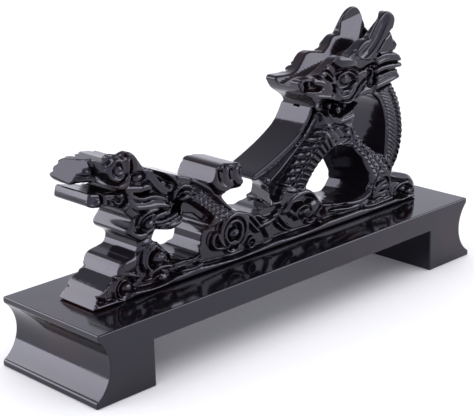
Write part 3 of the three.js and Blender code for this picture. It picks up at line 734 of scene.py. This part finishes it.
def carve_back(face):
    """The arched back: spines, beads and a smooth rim."""
    outer = [(84.6, 93.0), (88.4, 87.2), (91.4, 80), (92.8, 72), (92.6, 64), (89.8, 55.6), (85, 49.8)]
    beads = [(80.8, 92.4), (84.8, 86.0), (87.6, 79.4), (89.0, 72), (88.8, 64.4), (86.6, 57.2), (83.4, 52.6)]
    rim = [(72.4, 92), (77.0, 86.8), (80.2, 80), (81.6, 72), (81.4, 64.4), (81.2, 58.6), (82.0, 54)]
    face.ribs(outer, beads, 18, 2.8, slant=0.5)
    face.ribs(beads, rim, 20, 1.5, slant=1.6)
    face.strand([(x - 1.4, z) for x, z in rim], 2.4, 0.3, 0.1)


def carve_head(face):
    """Jaw and beard, snout, brow, eye and cheek."""
    face.level([(31.6, 92.6), (36, 94.4), (43, 92.4), (52, 89.8), (59.6, 90.4), (59.4, 88.4), (52, 85.4),
                (44, 84.4), (36.4, 87.4)], -5.0, 0.6)
    face.boss(46.3, 87.4, 1.9, 2.3, 0.0)
    face.boss(41.0, 90.2, 1.3, 2.0, -1.2)
    face.boss(52.4, 88.6, 1.3, 1.8, -1.6)
    face.strand([(38.6, 87.6), (41.4, 84.4), (46.0, 82.0), (52, 82.2), (57.6, 83.0)], 2.5, 0.8)
    face.strand([(42.6, 85.2), (45.8, 83.6), (48.6, 83.7)], 1.3, 0.9)
    face.strand([(56.0, 85.6), (58.6, 87.2), (60.0, 88.8)], 1.8, 0.6)
    # snout: nostril, lip and the folds behind it
    face.level([(22.6, 105.6), (31, 107.6), (40, 108.6), (45, 104), (44, 96), (36, 95.0), (24, 99.4)], -2.7,
               0.6)
    face.strand([(19.8, 104.6), (22.6, 105.9), (27.6, 105.4), (31.4, 105.4)], 1.8, 0.5)
    face.boss(21.6, 102.8, 2.0, 2.4, 0.2)
    face.dome(24.6, 102.6, 1.3, 2.2, -1.4)
    face.dome(28.5, 103.4, 1.2, 2.2, -1.4)
    face.boss(26.5, 103.2, 0.9, 2.3, 0.0)
    face.strand([(28.6, 104.2), (33.4, 102.9), (38.4, 100.7), (42.0, 98.6)], 3.7, 0.9, 0.3, 0.7)
    face.strand([(30.6, 108.2), (33.8, 107.4), (37.4, 105.6)], 2.6, 0.8)
    face.strand([(33.0, 106.2), (36.4, 103.9), (40.0, 102.0), (45.6, 100.4)], 1.2, 1.0, 0.2)
    face.strands([[(35.6, 109.4), (39.6, 108.2), (42.8, 105.2), (44.8, 101.6)],
                  [(34.2, 108.0), (38.2, 106.6), (41.4, 103.8), (44.0, 101.4)]], 1.6, 0.5, 0.2)
    face.strands([[(23.4, 100.0), (29.0, 98.8), (35.0, 98.0), (41.6, 96.2)],
                  [(24.6, 98.4), (31.4, 96.8), (37.6, 95.4), (43.6, 94.0)],
                  [(33.6, 99.6), (38.6, 98.4), (43.6, 95.6)]], 2.1, 0.5, 0.2)
    # brow and eye
    face.level([(41.4, 110.6), (46, 109.8), (47.6, 106.2), (44.4, 104.4), (42.6, 106.4)], -2.8, 0.6)
    face.level([(45.0, 104.6), (52, 105.8), (58.6, 104.2), (59.6, 99), (54, 96.6), (47, 97.4), (44.6, 100)],
               -2.2, 0.6)
    face.boss(52.2, 109.6, 9.0, 3.9, 1.5, turn=-15, fall=0.8)
    face.strand([(38.6, 110.0), (42.6, 112.6), (47.2, 113.6), (52.6, 112.9), (57.6, 110.8), (61.4, 107.6)],
                1.4, 0.9, 0.15)
    face.ridge([(47.0, 106.3), (52.0, 106.5), (57.0, 106.0), (62.0, 104.1), (66, 105.0), (70.6, 105.6),
                (74.6, 104.6)], 1.2, -2.6, 0.1)
    face.strand([(45.4, 101.8), (48.2, 104.2), (52.6, 104.8), (56.8, 103.0), (59.0, 100.4)], 1.5, 0.6, 0.2)
    face.boss(52.2, 101.3, 3.2, 2.9, 0.2)
    face.dome(52.9, 101.3, 1.5, 1.5, -0.8)
    face.strands([[(44.8, 100.6), (46.4, 97.8), (49.4, 95.6)], [(44.0, 99.4), (45.2, 96.4), (48.0, 93.8)]],
                 1.3, 0.7, 0.2)
    # cheek, whisker and the curl behind the jaw
    face.strand([(45.6, 95.8), (48.4, 93.3), (52.4, 92.9), (56.2, 95.2), (58.8, 98.8)], 4.0, 0.7, 0.3, 0.5)
    face.ridge([(47.0, 95.7), (50.0, 94.4), (53.4, 94.6)], 0.8, -1.2)
    face.ridge([(47.4, 91.9), (53.4, 91.1), (58.4, 94.2), (62.4, 97.6), (66.4, 100.0)], 1.0, -2.0, 0.1)
    face.strand([(47.6, 91.0), (53.6, 90.4), (58.8, 93.4), (63.0, 97.0), (67.6, 99.2)], 1.6, 0.8, 0.15)
    face.ridge([(55.0, 89.6), (60.4, 92.8), (66.4, 96.8)], 0.8, -1.6)
    face.strand([(59.6, 91.4), (63.6, 93.0), (67.4, 93.4), (70.6, 93.4)], 3.0, 0.6, 0.35, 0.6)
    face.strand([(59.0, 101.0), (62.6, 102.6), (67.0, 102.2)], 2.8, 0.6, 0.3, 0.5)
    face.level([(67.0, 104.0), (71.6, 104.0), (73.6, 98), (71, 95), (66.6, 96.4)], -1.9, 0.6)
    face.strand([(67.2, 103.8), (69.8, 103.2), (70.6, 100.6), (68.6, 98.6), (67.6, 96.2)], 1.4, 0.7, 0.2)
    face.boss(70.2, 97.2, 1.3, 2.0, 0.3)


def carve_horn_and_mane(face):
    """The horn, and the swept locks of the mane."""
    face.strand([(55.4, 111.6), (59.6, 114.0), (63.6, 116.2), (67.2, 117.4)], 3.6, 0.6, 0.4, 0.5)
    face.ridge([(60.6, 110.6), (66.4, 112.6), (71.6, 116.8), (76.6, 122.8), (80.6, 128.0)], 5.0, -1.6, 0.2)
    face.ridge([(72.6, 110.6), (78.4, 116.0), (84.6, 120.6)], 1.3, -2.2, 0.1)
    face.level([(73.0, 109.8), (84.6, 119.8), (88.6, 112), (88, 109.2)], -0.8, 0.7)
    face.tilt([(64.0, 112.0), (70.0, 118.0), (78.0, 128.0), (83.0, 128.6), (76.0, 118.6), (69.0, 111.6)],
              (73.6, 119.6), 0.16, -0.14)
    face.boss(87.6, 113.6, 1.8, 2.6, 0.3, turn=32)
    face.level([(72.0, 109.0), (88, 109.4), (93, 104), (92, 96), (84, 93.8), (72, 93)], -1.8, 0.6)
    locks = [[(70.6, 107.0), (76.4, 108.2), (83.0, 108.0), (90.4, 106.4)],
             [(73.0, 105.4), (79.0, 106.4), (85.6, 106.0), (91.6, 104.6)],
             [(71.4, 101.6), (77.0, 102.6), (84.0, 102.5), (92.2, 101.9)],
             [(72.6, 98.4), (79.0, 99.4), (84.6, 99.9), (89.0, 99.3)],
             [(73.0, 96.4), (79.6, 97.6), (85.0, 98.1), (90.2, 97.3)],
             [(70.6, 94.0), (77.0, 94.8), (84.6, 95.8), (91.4, 96.2)]]
    face.strands(locks, 2.8, 0.4, 0.1)
    face.ridges([[(74.6, 104.3), (82.0, 104.7), (92.4, 103.4)],
                 [(74.6, 100.2), (82.6, 100.9), (92.6, 100.2)]], 1.0, -1.6, 0.05)


def carve_all(face):
    """Everything above, from the foot strip up."""
    for carve in (carve_foot, carve_left_cloud, carve_middle_cloud, carve_centre_cloud, carve_right_clouds,
                  carve_mask, carve_mane_strands, carve_stem, carve_scaled_tail, carve_claw, carve_body,
                  carve_foreleg, carve_back, carve_head, carve_horn_and_mane):
        carve(face)


# ------------------------------------------------------------ carving as mesh


def share_to_back(y):
    """How far a place is on its way from the front face to the back face, from 0 to 1."""
    return np.clip((y + FIELD_HALF) / (2 * FIELD_HALF), 0.0, 1.0)


class Carving:
    """The whole carving as one field: negative inside, positive outside, in millimetres."""

    def __init__(self):
        sections = {name: section(name) for name in BLOCKS}
        every = np.vstack([s.reshape(-1, 2) for s in sections.values()])
        self.maps = Maps(every.min(axis=0) - MARGIN, every.max(axis=0) + MARGIN)
        x, z = self.maps.grid_x, self.maps.grid_z
        self.own = {}
        for name, segments in sections.items():
            distance = np.full(x.shape, np.inf)
            where = self.maps.window(segments.reshape(-1, 2), OUTLINE_REACH)
            near = segment_distance(x[where], z[where], segments)
            within = segment_inside(x[where], z[where], segments)
            distance[where] = np.where(within, -near, near)
            self.own[name] = distance
        names = list(BLOCKS)
        stacked = np.stack([self.own[name] for name in names])
        self.owner = stacked.argmin(axis=0)
        self.names = names
        self.outline = self._outline(sections)
        self.front, self.back = self._half_width("half"), self._half_width("back")

    def _outline(self, sections):
        """Distance to the carving's outer edge, with the glue gaps between blocks closed."""
        x, z = self.maps.grid_x, self.maps.grid_z
        outer = []
        for name, segments in sections.items():
            middle = segments.mean(axis=1)
            open_edge = np.ones(len(middle), bool)
            for other in sections:
                if other == name or {name, other} == set(HORN_PAIR):
                    continue
                open_edge &= self.maps.read(self.own[other], middle[:, 0], middle[:, 1]) > 3 * GLUE_GAP
            outer.append(segments[open_edge])
        near = segment_distance(x, z, np.vstack(outer))
        within = np.stack(list(self.own.values())).min(axis=0) < 1.6 * GLUE_GAP
        crisp = np.where(within, -near, near)
        smooth = np.isin(self.owner, [self.names.index(name) for name in SMOOTH_BLOCKS])
        share = self.maps.blur(smooth.astype(float), CHANGE_BLUR)
        return share * self.maps.blur(crisp, RUBBED_BLUR) + (1 - share) * self.maps.blur(crisp, CRISP_BLUR)

    def _half_width(self, side):
        """From the middle plane to one side face at each place, with its relief."""
        half = np.full(self.outline.shape, FIELD_HALF)
        fall = np.zeros(self.outline.shape)
        for index, name in enumerate(self.names):
            mine = self.owner == index
            half[mine] = BLOCKS[name].get(side, BLOCKS[name]["half"])
            radius, drop = BLOCKS[name]["crown"]
            if radius:
                t = np.clip(1 + self.outline[mine] / radius, 0.0, 1.0)
                fall[mine] = drop * (1 - np.sqrt(1 - t ** 2))
        face = Relief(self.maps)
        carve_all(face)
        relief = self.maps.blur(face.height, RELIEF_BLUR)
        half = self.maps.blur(half - fall, HALF_BLUR) + relief
        if side == "half":
            x, z = self.maps.grid_x, self.maps.grid_z
            nose = np.minimum(half, NOSE_HALF - NOSE_SLANT * (NOSE_START - x) + 0.8 * relief)
            share = ramp(NOSE_START - x, -0.5, 0.5) * ramp(z, MOUTH_ROOF - 0.4, MOUTH_ROOF + 0.8)
            half = half + (nose - half) * share
        return HIGHEST - smooth_max(HIGHEST - half, 0.0, 0.4)[0]

    def trough(self, x, y, z):
        """The hollow along the top of the head, and the space between the horns: negative inside it."""
        floor = TROUGH_Z + TROUGH_CLIMB * (x - TROUGH_X)
        foot, lean, top = NEAR_WALL
        near = foot + lean * np.clip(z - floor, 0.0, top) * (1 - 0.5 * ramp(x, LOCK_START, LOCK_FULL))
        behind_horns = (x - HORN_FOOT[0]) - HORN_SLOPE * (z - HORN_FOOT[1])
        foot, lean, top = FAR_WALL
        far = foot + lean * np.clip(z - floor, 0.0, top) * (1 - 0.45 * ramp(behind_horns, -1.0, 2.0))
        width = np.where(y < 0, near, far)
        return np.maximum(np.maximum(np.abs(y) - width, (floor - z) * 0.95), TROUGH_END - x)

    def saddle(self, x, y, z):
        """What the mask's flat top and the cut corner of its nose take off: negative inside it."""
        top = np.interp(x, SADDLE_X, SADDLE_Z)
        front = SADDLE_FRONT + SADDLE_TURN * (x - SADDLE_MIDDLE)
        flat = np.maximum(np.maximum(top - z, front - y), x - SADDLE_END)
        corner_x, corner_y, corner_z = NOSE_CORNER
        plane = corner_z + NOSE_RISE[0] * (x - corner_x) + NOSE_RISE[1] * (y - corner_y)
        corner = np.maximum(0.65 * (plane - z), np.maximum(x - NOSE_START, MOUTH_ROOF - z))
        return np.minimum(flat, corner)

    def wall_space(self, x, y, z):
        """What the slanting wall of the body leaves open above the clouds: negative inside it."""
        wall = np.interp(z, WALL_Z, WALL_X) + WALL_SHIFT * share_to_back(y)
        above = np.interp(x, ARM_X, ARM_Z) - z
        below = z - np.interp(x, CLOUD_X, CLOUD_Z)
        return np.maximum(np.maximum(x - wall, SPACE_LEFT - x), SPACE_CLEAR - np.minimum(above, below))

    def arch_fill(self, x, y, z):
        """The slanting inner wall of the arch: negative inside its wood."""
        edge = np.interp(z, ARCH_Z, ARCH_X)
        wood = np.maximum(edge - ARCH_SHIFT * share_to_back(y) - x, x - edge - ARCH_OVERLAP)
        return np.maximum(wood, np.maximum(ARCH_Z[0] - z, z - ARCH_Z[-1]))

    def value(self, x, y, z, outline, half):
        """The field, from the maps' outline and half width at each place."""
        outline = -smooth_max(-outline, -self.arch_fill(x, y, z), EDGE_ROUND)[0]
        outline, _ = smooth_max(outline, -self.wall_space(x, y, z), EDGE_ROUND)
        body, _ = smooth_max(outline, np.abs(y) - half, EDGE_ROUND)
        for hollow in (self.trough, self.saddle):
            body, _ = smooth_max(body, -hollow(x, y, z), EDGE_ROUND)
        return body

    def at(self, points):
        """The field at points."""
        x, y, z = points.T
        half = np.where(y < 0, self.maps.read(self.front, x, z), self.maps.read(self.back, x, z))
        return self.value(x, y, z, self.maps.read(self.outline, x, z), half)

    def slope(self, points, step=0.12):
        """The direction that leads out of the carving, as unit vectors, and how fast the field grows."""
        ahead = [self.at(points + step * axis) for axis in np.eye(3)]
        behind = [self.at(points - step * axis) for axis in np.eye(3)]
        rise = np.stack(ahead, axis=1) - np.stack(behind, axis=1)
        steepness = np.linalg.norm(rise, axis=1, keepdims=True) + 1e-9
        return rise / steepness, steepness[:, 0] / (2 * step)

    def mesh(self):
        """Points, four-sided faces, outward normals and each face's block."""
        reach = HIGHEST + 1.0
        face_levels = np.arange(CORE_HALF, reach, FACE_CELL)
        core = np.linspace(-CORE_HALF, CORE_HALF, int(2 * CORE_HALF / CORE_CELL) + 1)
        y = np.concatenate([-face_levels[:0:-1], core, face_levels[1:]])
        maps = self.maps
        field = np.empty((len(maps.x), len(y), len(maps.z)), np.float32)
        for j, level in enumerate(y):
            half = self.front if level < 0 else self.back
            field[:, j] = self.value(maps.grid_x, level, maps.grid_z, self.outline, half)
        points, quads = surface_net(field, maps.x, y, maps.z)
        for _ in range(DRAW_ROUNDS):
            outward, steepness = self.slope(points)
            move = self.at(points) / np.maximum(steepness, LEAST_STEEPNESS)
            move = np.clip(move, -DRAW_LIMIT, DRAW_LIMIT)
            points = points - move[:, None] * outward
        outward, _ = self.slope(points)
        centre = points[quads].mean(axis=1)
        i = np.clip(np.rint((centre[:, 0] - maps.x[0]) / CELL), 0, len(maps.x) - 1).astype(int)
        j = np.clip(np.rint((centre[:, 2] - maps.z[0]) / CELL), 0, len(maps.z) - 1).astype(int)
        owners = self.owner[i, j]
        front, back = (self.names.index(name) for name in HORN_PAIR)
        horn = (owners == front) | (owners == back)
        owners = np.where(horn, np.where(centre[:, 1] > 0, back, front), owners)
        return points, quads, outward, owners


def surface_net(field, x, y, z):
    """Points and four-sided faces of the surface where a field changes sign. Faces turn outwards."""
    axes = (x, y, z)
    shape = np.array(field.shape) - 1
    count = np.zeros(shape.prod())
    total = np.zeros((shape.prod(), 3))
    faces = []
    for axis in range(3):
        low = np.take(field, range(field.shape[axis] - 1), axis)
        high = np.take(field, range(1, field.shape[axis]), axis)
        corner = np.argwhere((low < 0) != (high < 0))
        a, b = low[tuple(corner.T)], high[tuple(corner.T)]
        place = np.stack([axes[k][corner[:, k]] for k in range(3)], axis=1)
        step = axes[axis][corner[:, axis] + 1] - axes[axis][corner[:, axis]]
        place[:, axis] += step * a / (a - b)
        first, second = [k for k in range(3) if k != axis]
        around = []
        for back_first, back_second in ((0, 0), (1, 0), (1, 1), (0, 1)):
            cell = corner.copy()
            cell[:, first] -= back_first
            cell[:, second] -= back_second
            flat = np.ravel_multi_index(tuple(cell.T), shape)
            around.append(flat)
            count += np.bincount(flat, minlength=len(count))
            for k in range(3):
                total[:, k] += np.bincount(flat, weights=place[:, k], minlength=len(count))
        quad = np.stack(around, axis=1)
        turn = (a < 0) == (axis == 1)
        quad[turn] = quad[turn][:, ::-1]
        faces.append(quad)
    used = np.nonzero(count)[0]
    renumber = np.zeros(len(count), int)
    renumber[used] = np.arange(len(used))
    return total[used] / count[used][:, None], renumber[np.vstack(faces)]


def add_mesh(name, points, faces):
    """A new object in the scene, from points in metres and faces that all have as many corners."""
    mesh = bpy.data.meshes.new(name)
    mesh.vertices.add(len(points))
    mesh.vertices.foreach_set("co", np.asarray(points, np.float32).ravel())
    mesh.loops.add(faces.size)
    mesh.loops.foreach_set("vertex_index", faces.astype(np.int32).ravel())
    mesh.polygons.add(len(faces))
    mesh.polygons.foreach_set("loop_start", np.arange(0, faces.size, faces.shape[1], dtype=np.int32))
    mesh.update(calc_edges=True)
    mesh.validate()
    piece = bpy.data.objects.new(name, mesh)
    bpy.context.scene.collection.objects.link(piece)
    return piece


def close_holes(piece):
    """Caps the glue faces, where a block was cut from its neighbours."""
    shell = bmesh.new()
    shell.from_mesh(piece.data)
    edges = [edge for edge in shell.edges if edge.is_boundary]
    made = bmesh.ops.holes_fill(shell, edges=edges, sides=0)
    bmesh.ops.triangulate(shell, faces=made["faces"])
    for face in shell.faces:
        face.smooth = True
    shell.to_mesh(piece.data)
    shell.free()


def add_carving(material):
    points, quads, outward, owners = Carving().mesh()
    for index, node in enumerate(BLOCKS):
        mine = quads[owners == index]
        if not len(mine):
            raise RuntimeError(f"block {node} has no faces")
        used, renumbered = np.unique(mine, return_inverse=True)
        piece = add_mesh(f"carved_{node}", points[used] * MM, renumbered.reshape(-1, 4))
        close_holes(piece)
        piece.data.normals_split_custom_set_from_vertices([Vector(normal) for normal in outward[used]])
        finish_piece(piece, material, "carving_lacquer", node)


# ----------------------------------------------------------------------- base


def end_profile(side, box, lip, setback, hollow):
    """One moulded end of the base, from the desk up, as points of X and Z in millimetres."""
    length, height = box
    low = np.array([side * length / 2, lip])
    high = np.array([side * (length / 2 - setback), height - lip])
    chord = np.linalg.norm(high - low)
    depth = hollow - setback / 2
    radius = (chord ** 2 / 4 + depth ** 2) / (2 * depth)
    along = (high - low) / chord
    inward = np.array([-along[1], along[0]]) * side
    centre = (low + high) / 2 - inward * (radius - depth)
    half_angle = math.asin(chord / 2 / radius)
    points = [(side * length / 2, 0.0)]
    for t in np.linspace(-half_angle, half_angle, ARC_STEPS + 1):
        points.append(tuple(centre + radius * (math.cos(t) * inward + math.sin(t) * along)))
    points.append((side * (length / 2 - setback), height))
    return points


def add_base(material):
    """The board and both feet as one lacquered body, with every long edge rubbed round."""
    board_low, board_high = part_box("base_board")
    foot_low, foot_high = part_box("left_foot")
    length = 2 * -foot_low.x / MM
    height = board_high.z / MM
    underside = board_low.z / MM
    foot_inner = foot_high.x / MM
    half_width = board_high.y / MM
    ends = dict(box=(length, height), lip=BASE_LIP, setback=BASE_SETBACK, hollow=BASE_HOLLOW)
    right = end_profile(1, **ends)
    left = end_profile(-1, **ends)
    outline = [(-foot_inner, 0.0), *right, *left[::-1], (foot_inner, 0.0), (foot_inner, underside),
               (-foot_inner, underside)]
    shell = bmesh.new()
    front = [shell.verts.new((x * MM, -half_width * MM, z * MM)) for x, z in outline]
    face = shell.faces.new(front)
    back = bmesh.ops.extrude_face_region(shell, geom=[face])
    moved = [v for v in back["geom"] if isinstance(v, bmesh.types.BMVert)]
    bmesh.ops.translate(shell, verts=moved, vec=(0, 2 * half_width * MM, 0))
    bmesh.ops.recalc_face_normals(shell, faces=shell.faces)
    for face in shell.faces:
        face.smooth = True
    mesh = bpy.data.meshes.new("lacquered_base")
    shell.to_mesh(mesh)
    shell.free()
    base = bpy.data.objects.new("lacquered_base", mesh)
    bpy.context.scene.collection.objects.link(base)
    bevel = base.modifiers.new("rubbed_edges", "BEVEL")
    bevel.width = BASE_EDGE_ROUND * MM
    bevel.segments = 3
    bevel.limit_method = "ANGLE"
    bevel.angle_limit = math.radians(25)
    bevel.harden_normals = True
    finish_piece(base, material, "base_lacquer", "base_board", "left_foot", "right_foot")


# ------------------------------------------------------------------ materials


def node_tools(material):
    tree = material.node_tree
    shader = tree.nodes["Principled BSDF"]

    def add(kind, **sockets):
        node = tree.nodes.new(kind)
        for name, value in sockets.items():
            if hasattr(node, name):
                setattr(node, name, value)
            else:
                node.inputs[name.replace("_", " ")].default_value = value
        return node

    return tree, shader, add


def add_lacquer(name, tint, wave):
    """Black lacquer over wood: an uneven deep gloss, with dust pits, and brown where it is thin."""
    material = bpy.data.materials.new(name)
    material.use_nodes = True
    tree, shader, add = node_tools(material)
    link = tree.links.new
    place = add("ShaderNodeTexCoord")
    mottle = add("ShaderNodeTexNoise", Scale=38.0, Detail=3.0, Roughness=0.6)
    link(place.outputs["Object"], mottle.inputs["Vector"])
    gloss = add("ShaderNodeMapRange", From_Min=0.35, From_Max=0.7, To_Min=0.07, To_Max=0.15)
    link(mottle.outputs["Fac"], gloss.inputs["Value"])
    link(gloss.outputs["Result"], shader.inputs["Roughness"])

    thin = add("ShaderNodeTexNoise", Scale=24.0, Detail=2.0)
    link(place.outputs["Object"], thin.inputs["Vector"])
    colour = add("ShaderNodeValToRGB")
    colour.color_ramp.elements[0].position = 0.55
    colour.color_ramp.elements[0].color = (*tint, 1)
    colour.color_ramp.elements[1].position = 0.78
    colour.color_ramp.elements[1].color = (tint[0] * 3.5, tint[1] * 1.3, tint[2], 1)
    link(thin.outputs["Fac"], colour.inputs["Fac"])
    link(colour.outputs["Color"], shader.inputs["Base Color"])

    swell = add("ShaderNodeTexNoise", Scale=90.0, Detail=2.0)
    link(place.outputs["Object"], swell.inputs["Vector"])
    long_wave = add("ShaderNodeBump", Strength=wave, Distance=0.0006)
    link(swell.outputs["Fac"], long_wave.inputs["Height"])
    dust = add("ShaderNodeTexVoronoi", Scale=420.0)
    link(place.outputs["Object"], dust.inputs["Vector"])
    pit = add("ShaderNodeMapRange", From_Min=0.0, From_Max=0.14, To_Min=0.0, To_Max=1.0)
    link(dust.outputs["Distance"], pit.inputs["Value"])
    pits = add("ShaderNodeBump", Strength=0.12, Distance=0.0002)
    link(pit.outputs["Result"], pits.inputs["Height"])
    link(long_wave.outputs["Normal"], pits.inputs["Normal"])
    link(pits.outputs["Normal"], shader.inputs["Normal"])

    shader.inputs["IOR"].default_value = 1.5
    shader.inputs["Specular Tint"].default_value = (0.84, 0.83, 1.0, 1)
    return material


def add_steel():
    """Zinc-plated screws: turned metal with a fine ring grain."""
    material = bpy.data.materials.new("plated_steel")
    material.use_nodes = True
    tree, shader, add = node_tools(material)
    link = tree.links.new
    place = add("ShaderNodeTexCoord")
    grain = add("ShaderNodeTexNoise", Scale=900.0, Detail=4.0)
    link(place.outputs["Object"], grain.inputs["Vector"])
    rough = add("ShaderNodeMapRange", From_Min=0.3, From_Max=0.7, To_Min=0.25, To_Max=0.45)
    link(grain.outputs["Fac"], rough.inputs["Value"])
    link(rough.outputs["Result"], shader.inputs["Roughness"])
    bump = add("ShaderNodeBump", Strength=0.15, Distance=0.0001)
    link(grain.outputs["Fac"], bump.inputs["Height"])
    link(bump.outputs["Normal"], shader.inputs["Normal"])
    shader.inputs["Base Color"].default_value = (0.6, 0.58, 0.54, 1)
    shader.inputs["Metallic"].default_value = 1.0
    return material


def finish_piece(piece, material, slot, *nodes):
    """Coats a piece, sets it on its body, and hides the CAD nodes that it stands for."""
    piece.data.materials.clear()
    piece.data.materials.append(material)
    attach(piece, "root")
    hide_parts(*nodes)


# ---------------------------------------------------------------------- stage


def add_camera():
    """A long lens on the front and tail end, from a little above."""
    azimuth, elevation, roll = (math.radians(angle) for angle in CAMERA_ANGLES)
    back = Vector((math.sin(azimuth) * math.cos(elevation), -math.cos(azimuth) * math.cos(elevation),
                   math.sin(elevation)))
    data = bpy.data.cameras.new("camera")
    data.sensor_width = 36.0
    data.lens = CAMERA_LENS
    data.clip_start = 0.01
    camera = bpy.data.objects.new("camera", data)
    camera.location = (Vector(CAMERA_TARGET) + CAMERA_DISTANCE * back) * MM
    camera.rotation_mode = "QUATERNION"
    camera.rotation_quaternion = (-back).to_track_quat("-Z", "Y") @ Quaternion((0, 0, 1), roll)
    bpy.context.scene.collection.objects.link(camera)
    bpy.context.scene.camera = camera


def add_panel(name, centre, width, height, brightness, lit):
    """A soft panel that faces the object. lit is the collection that says what it lights."""
    data = bpy.data.lights.new(name, "AREA")
    data.shape = "RECTANGLE"
    data.size = width
    data.size_y = height
    data.energy = brightness * math.pi * width * height
    panel = bpy.data.objects.new(name, data)
    panel.location = centre
    panel.rotation_mode = "QUATERNION"
    panel.rotation_quaternion = Vector(centre).normalized().to_track_quat("Z", "Y")
    panel.visible_camera = False
    panel.light_linking.receiver_collection = lit
    bpy.context.scene.collection.objects.link(panel)


def add_sky():
    """A pale even sky that darkens overhead."""
    world = bpy.data.worlds.new("studio")
    world.use_nodes = True
    tree = world.node_tree
    sky = tree.nodes["Background"]
    sky.inputs["Color"].default_value = SKY_COLOUR
    direction = tree.nodes.new("ShaderNodeTexCoord")
    split = tree.nodes.new("ShaderNodeSeparateXYZ")
    tree.links.new(direction.outputs["Generated"], split.inputs["Vector"])
    fade = tree.nodes.new("ShaderNodeMapRange")
    fade.interpolation_type = "SMOOTHSTEP"
    for name, value in SKY_FADE.items():
        fade.inputs[name].default_value = value
    tree.links.new(split.outputs["Z"], fade.inputs["Value"])
    tree.links.new(fade.outputs["Result"], sky.inputs["Strength"])
    bpy.context.scene.world = world


def add_floor():
    """A plain pale floor at the height of the desk."""
    corners = FLOOR_HALF * np.array([(-1, -1, 0), (1, -1, 0), (1, 1, 0), (-1, 1, 0)])
    floor = add_mesh("studio_floor", corners, np.array([[0, 1, 2, 3]]))
    paint = bpy.data.materials.new("pale_floor")
    paint.use_nodes = True
    shader = paint.node_tree.nodes["Principled BSDF"]
    shader.inputs["Base Color"].default_value = (0.9, 0.9, 0.9, 1)
    shader.inputs["Roughness"].default_value = 0.9
    floor.data.materials.append(paint)
    return floor


def add_stage():
    """Sky, floor and panels. The object's panels pass the floor by, so that it shows no hot spots."""
    add_sky()
    floor = add_floor()
    lit = {}
    for target, state in (("object", "EXCLUDE"), ("floor", "INCLUDE")):
        lit[target] = bpy.data.collections.new(f"panels_for_the_{target}")
        lit[target].objects.link(floor)
        for entry in lit[target].collection_objects:
            entry.light_linking.link_state = state
    for name, (centre, width, height, brightness, target) in PANELS.items():
        add_panel(name, centre, width, height, brightness, lit[target])
    bpy.context.scene.view_settings.view_transform = "Standard"


add_camera()
add_stage()
carving_lacquer = add_lacquer("carving_lacquer", (0.004, 0.003, 0.0045), 0.05)
base_lacquer = add_lacquer("base_lacquer", (0.004, 0.0035, 0.005), 0.03)
add_base(base_lacquer)
add_carving(carving_lacquer)
plated_steel = add_steel()
for screw in ("screw_left", "screw_middle", "screw_right"):
    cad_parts[screw].data.materials.clear()
    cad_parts[screw].data.materials.append(plated_steel)

bpy.context.view_layer.update()
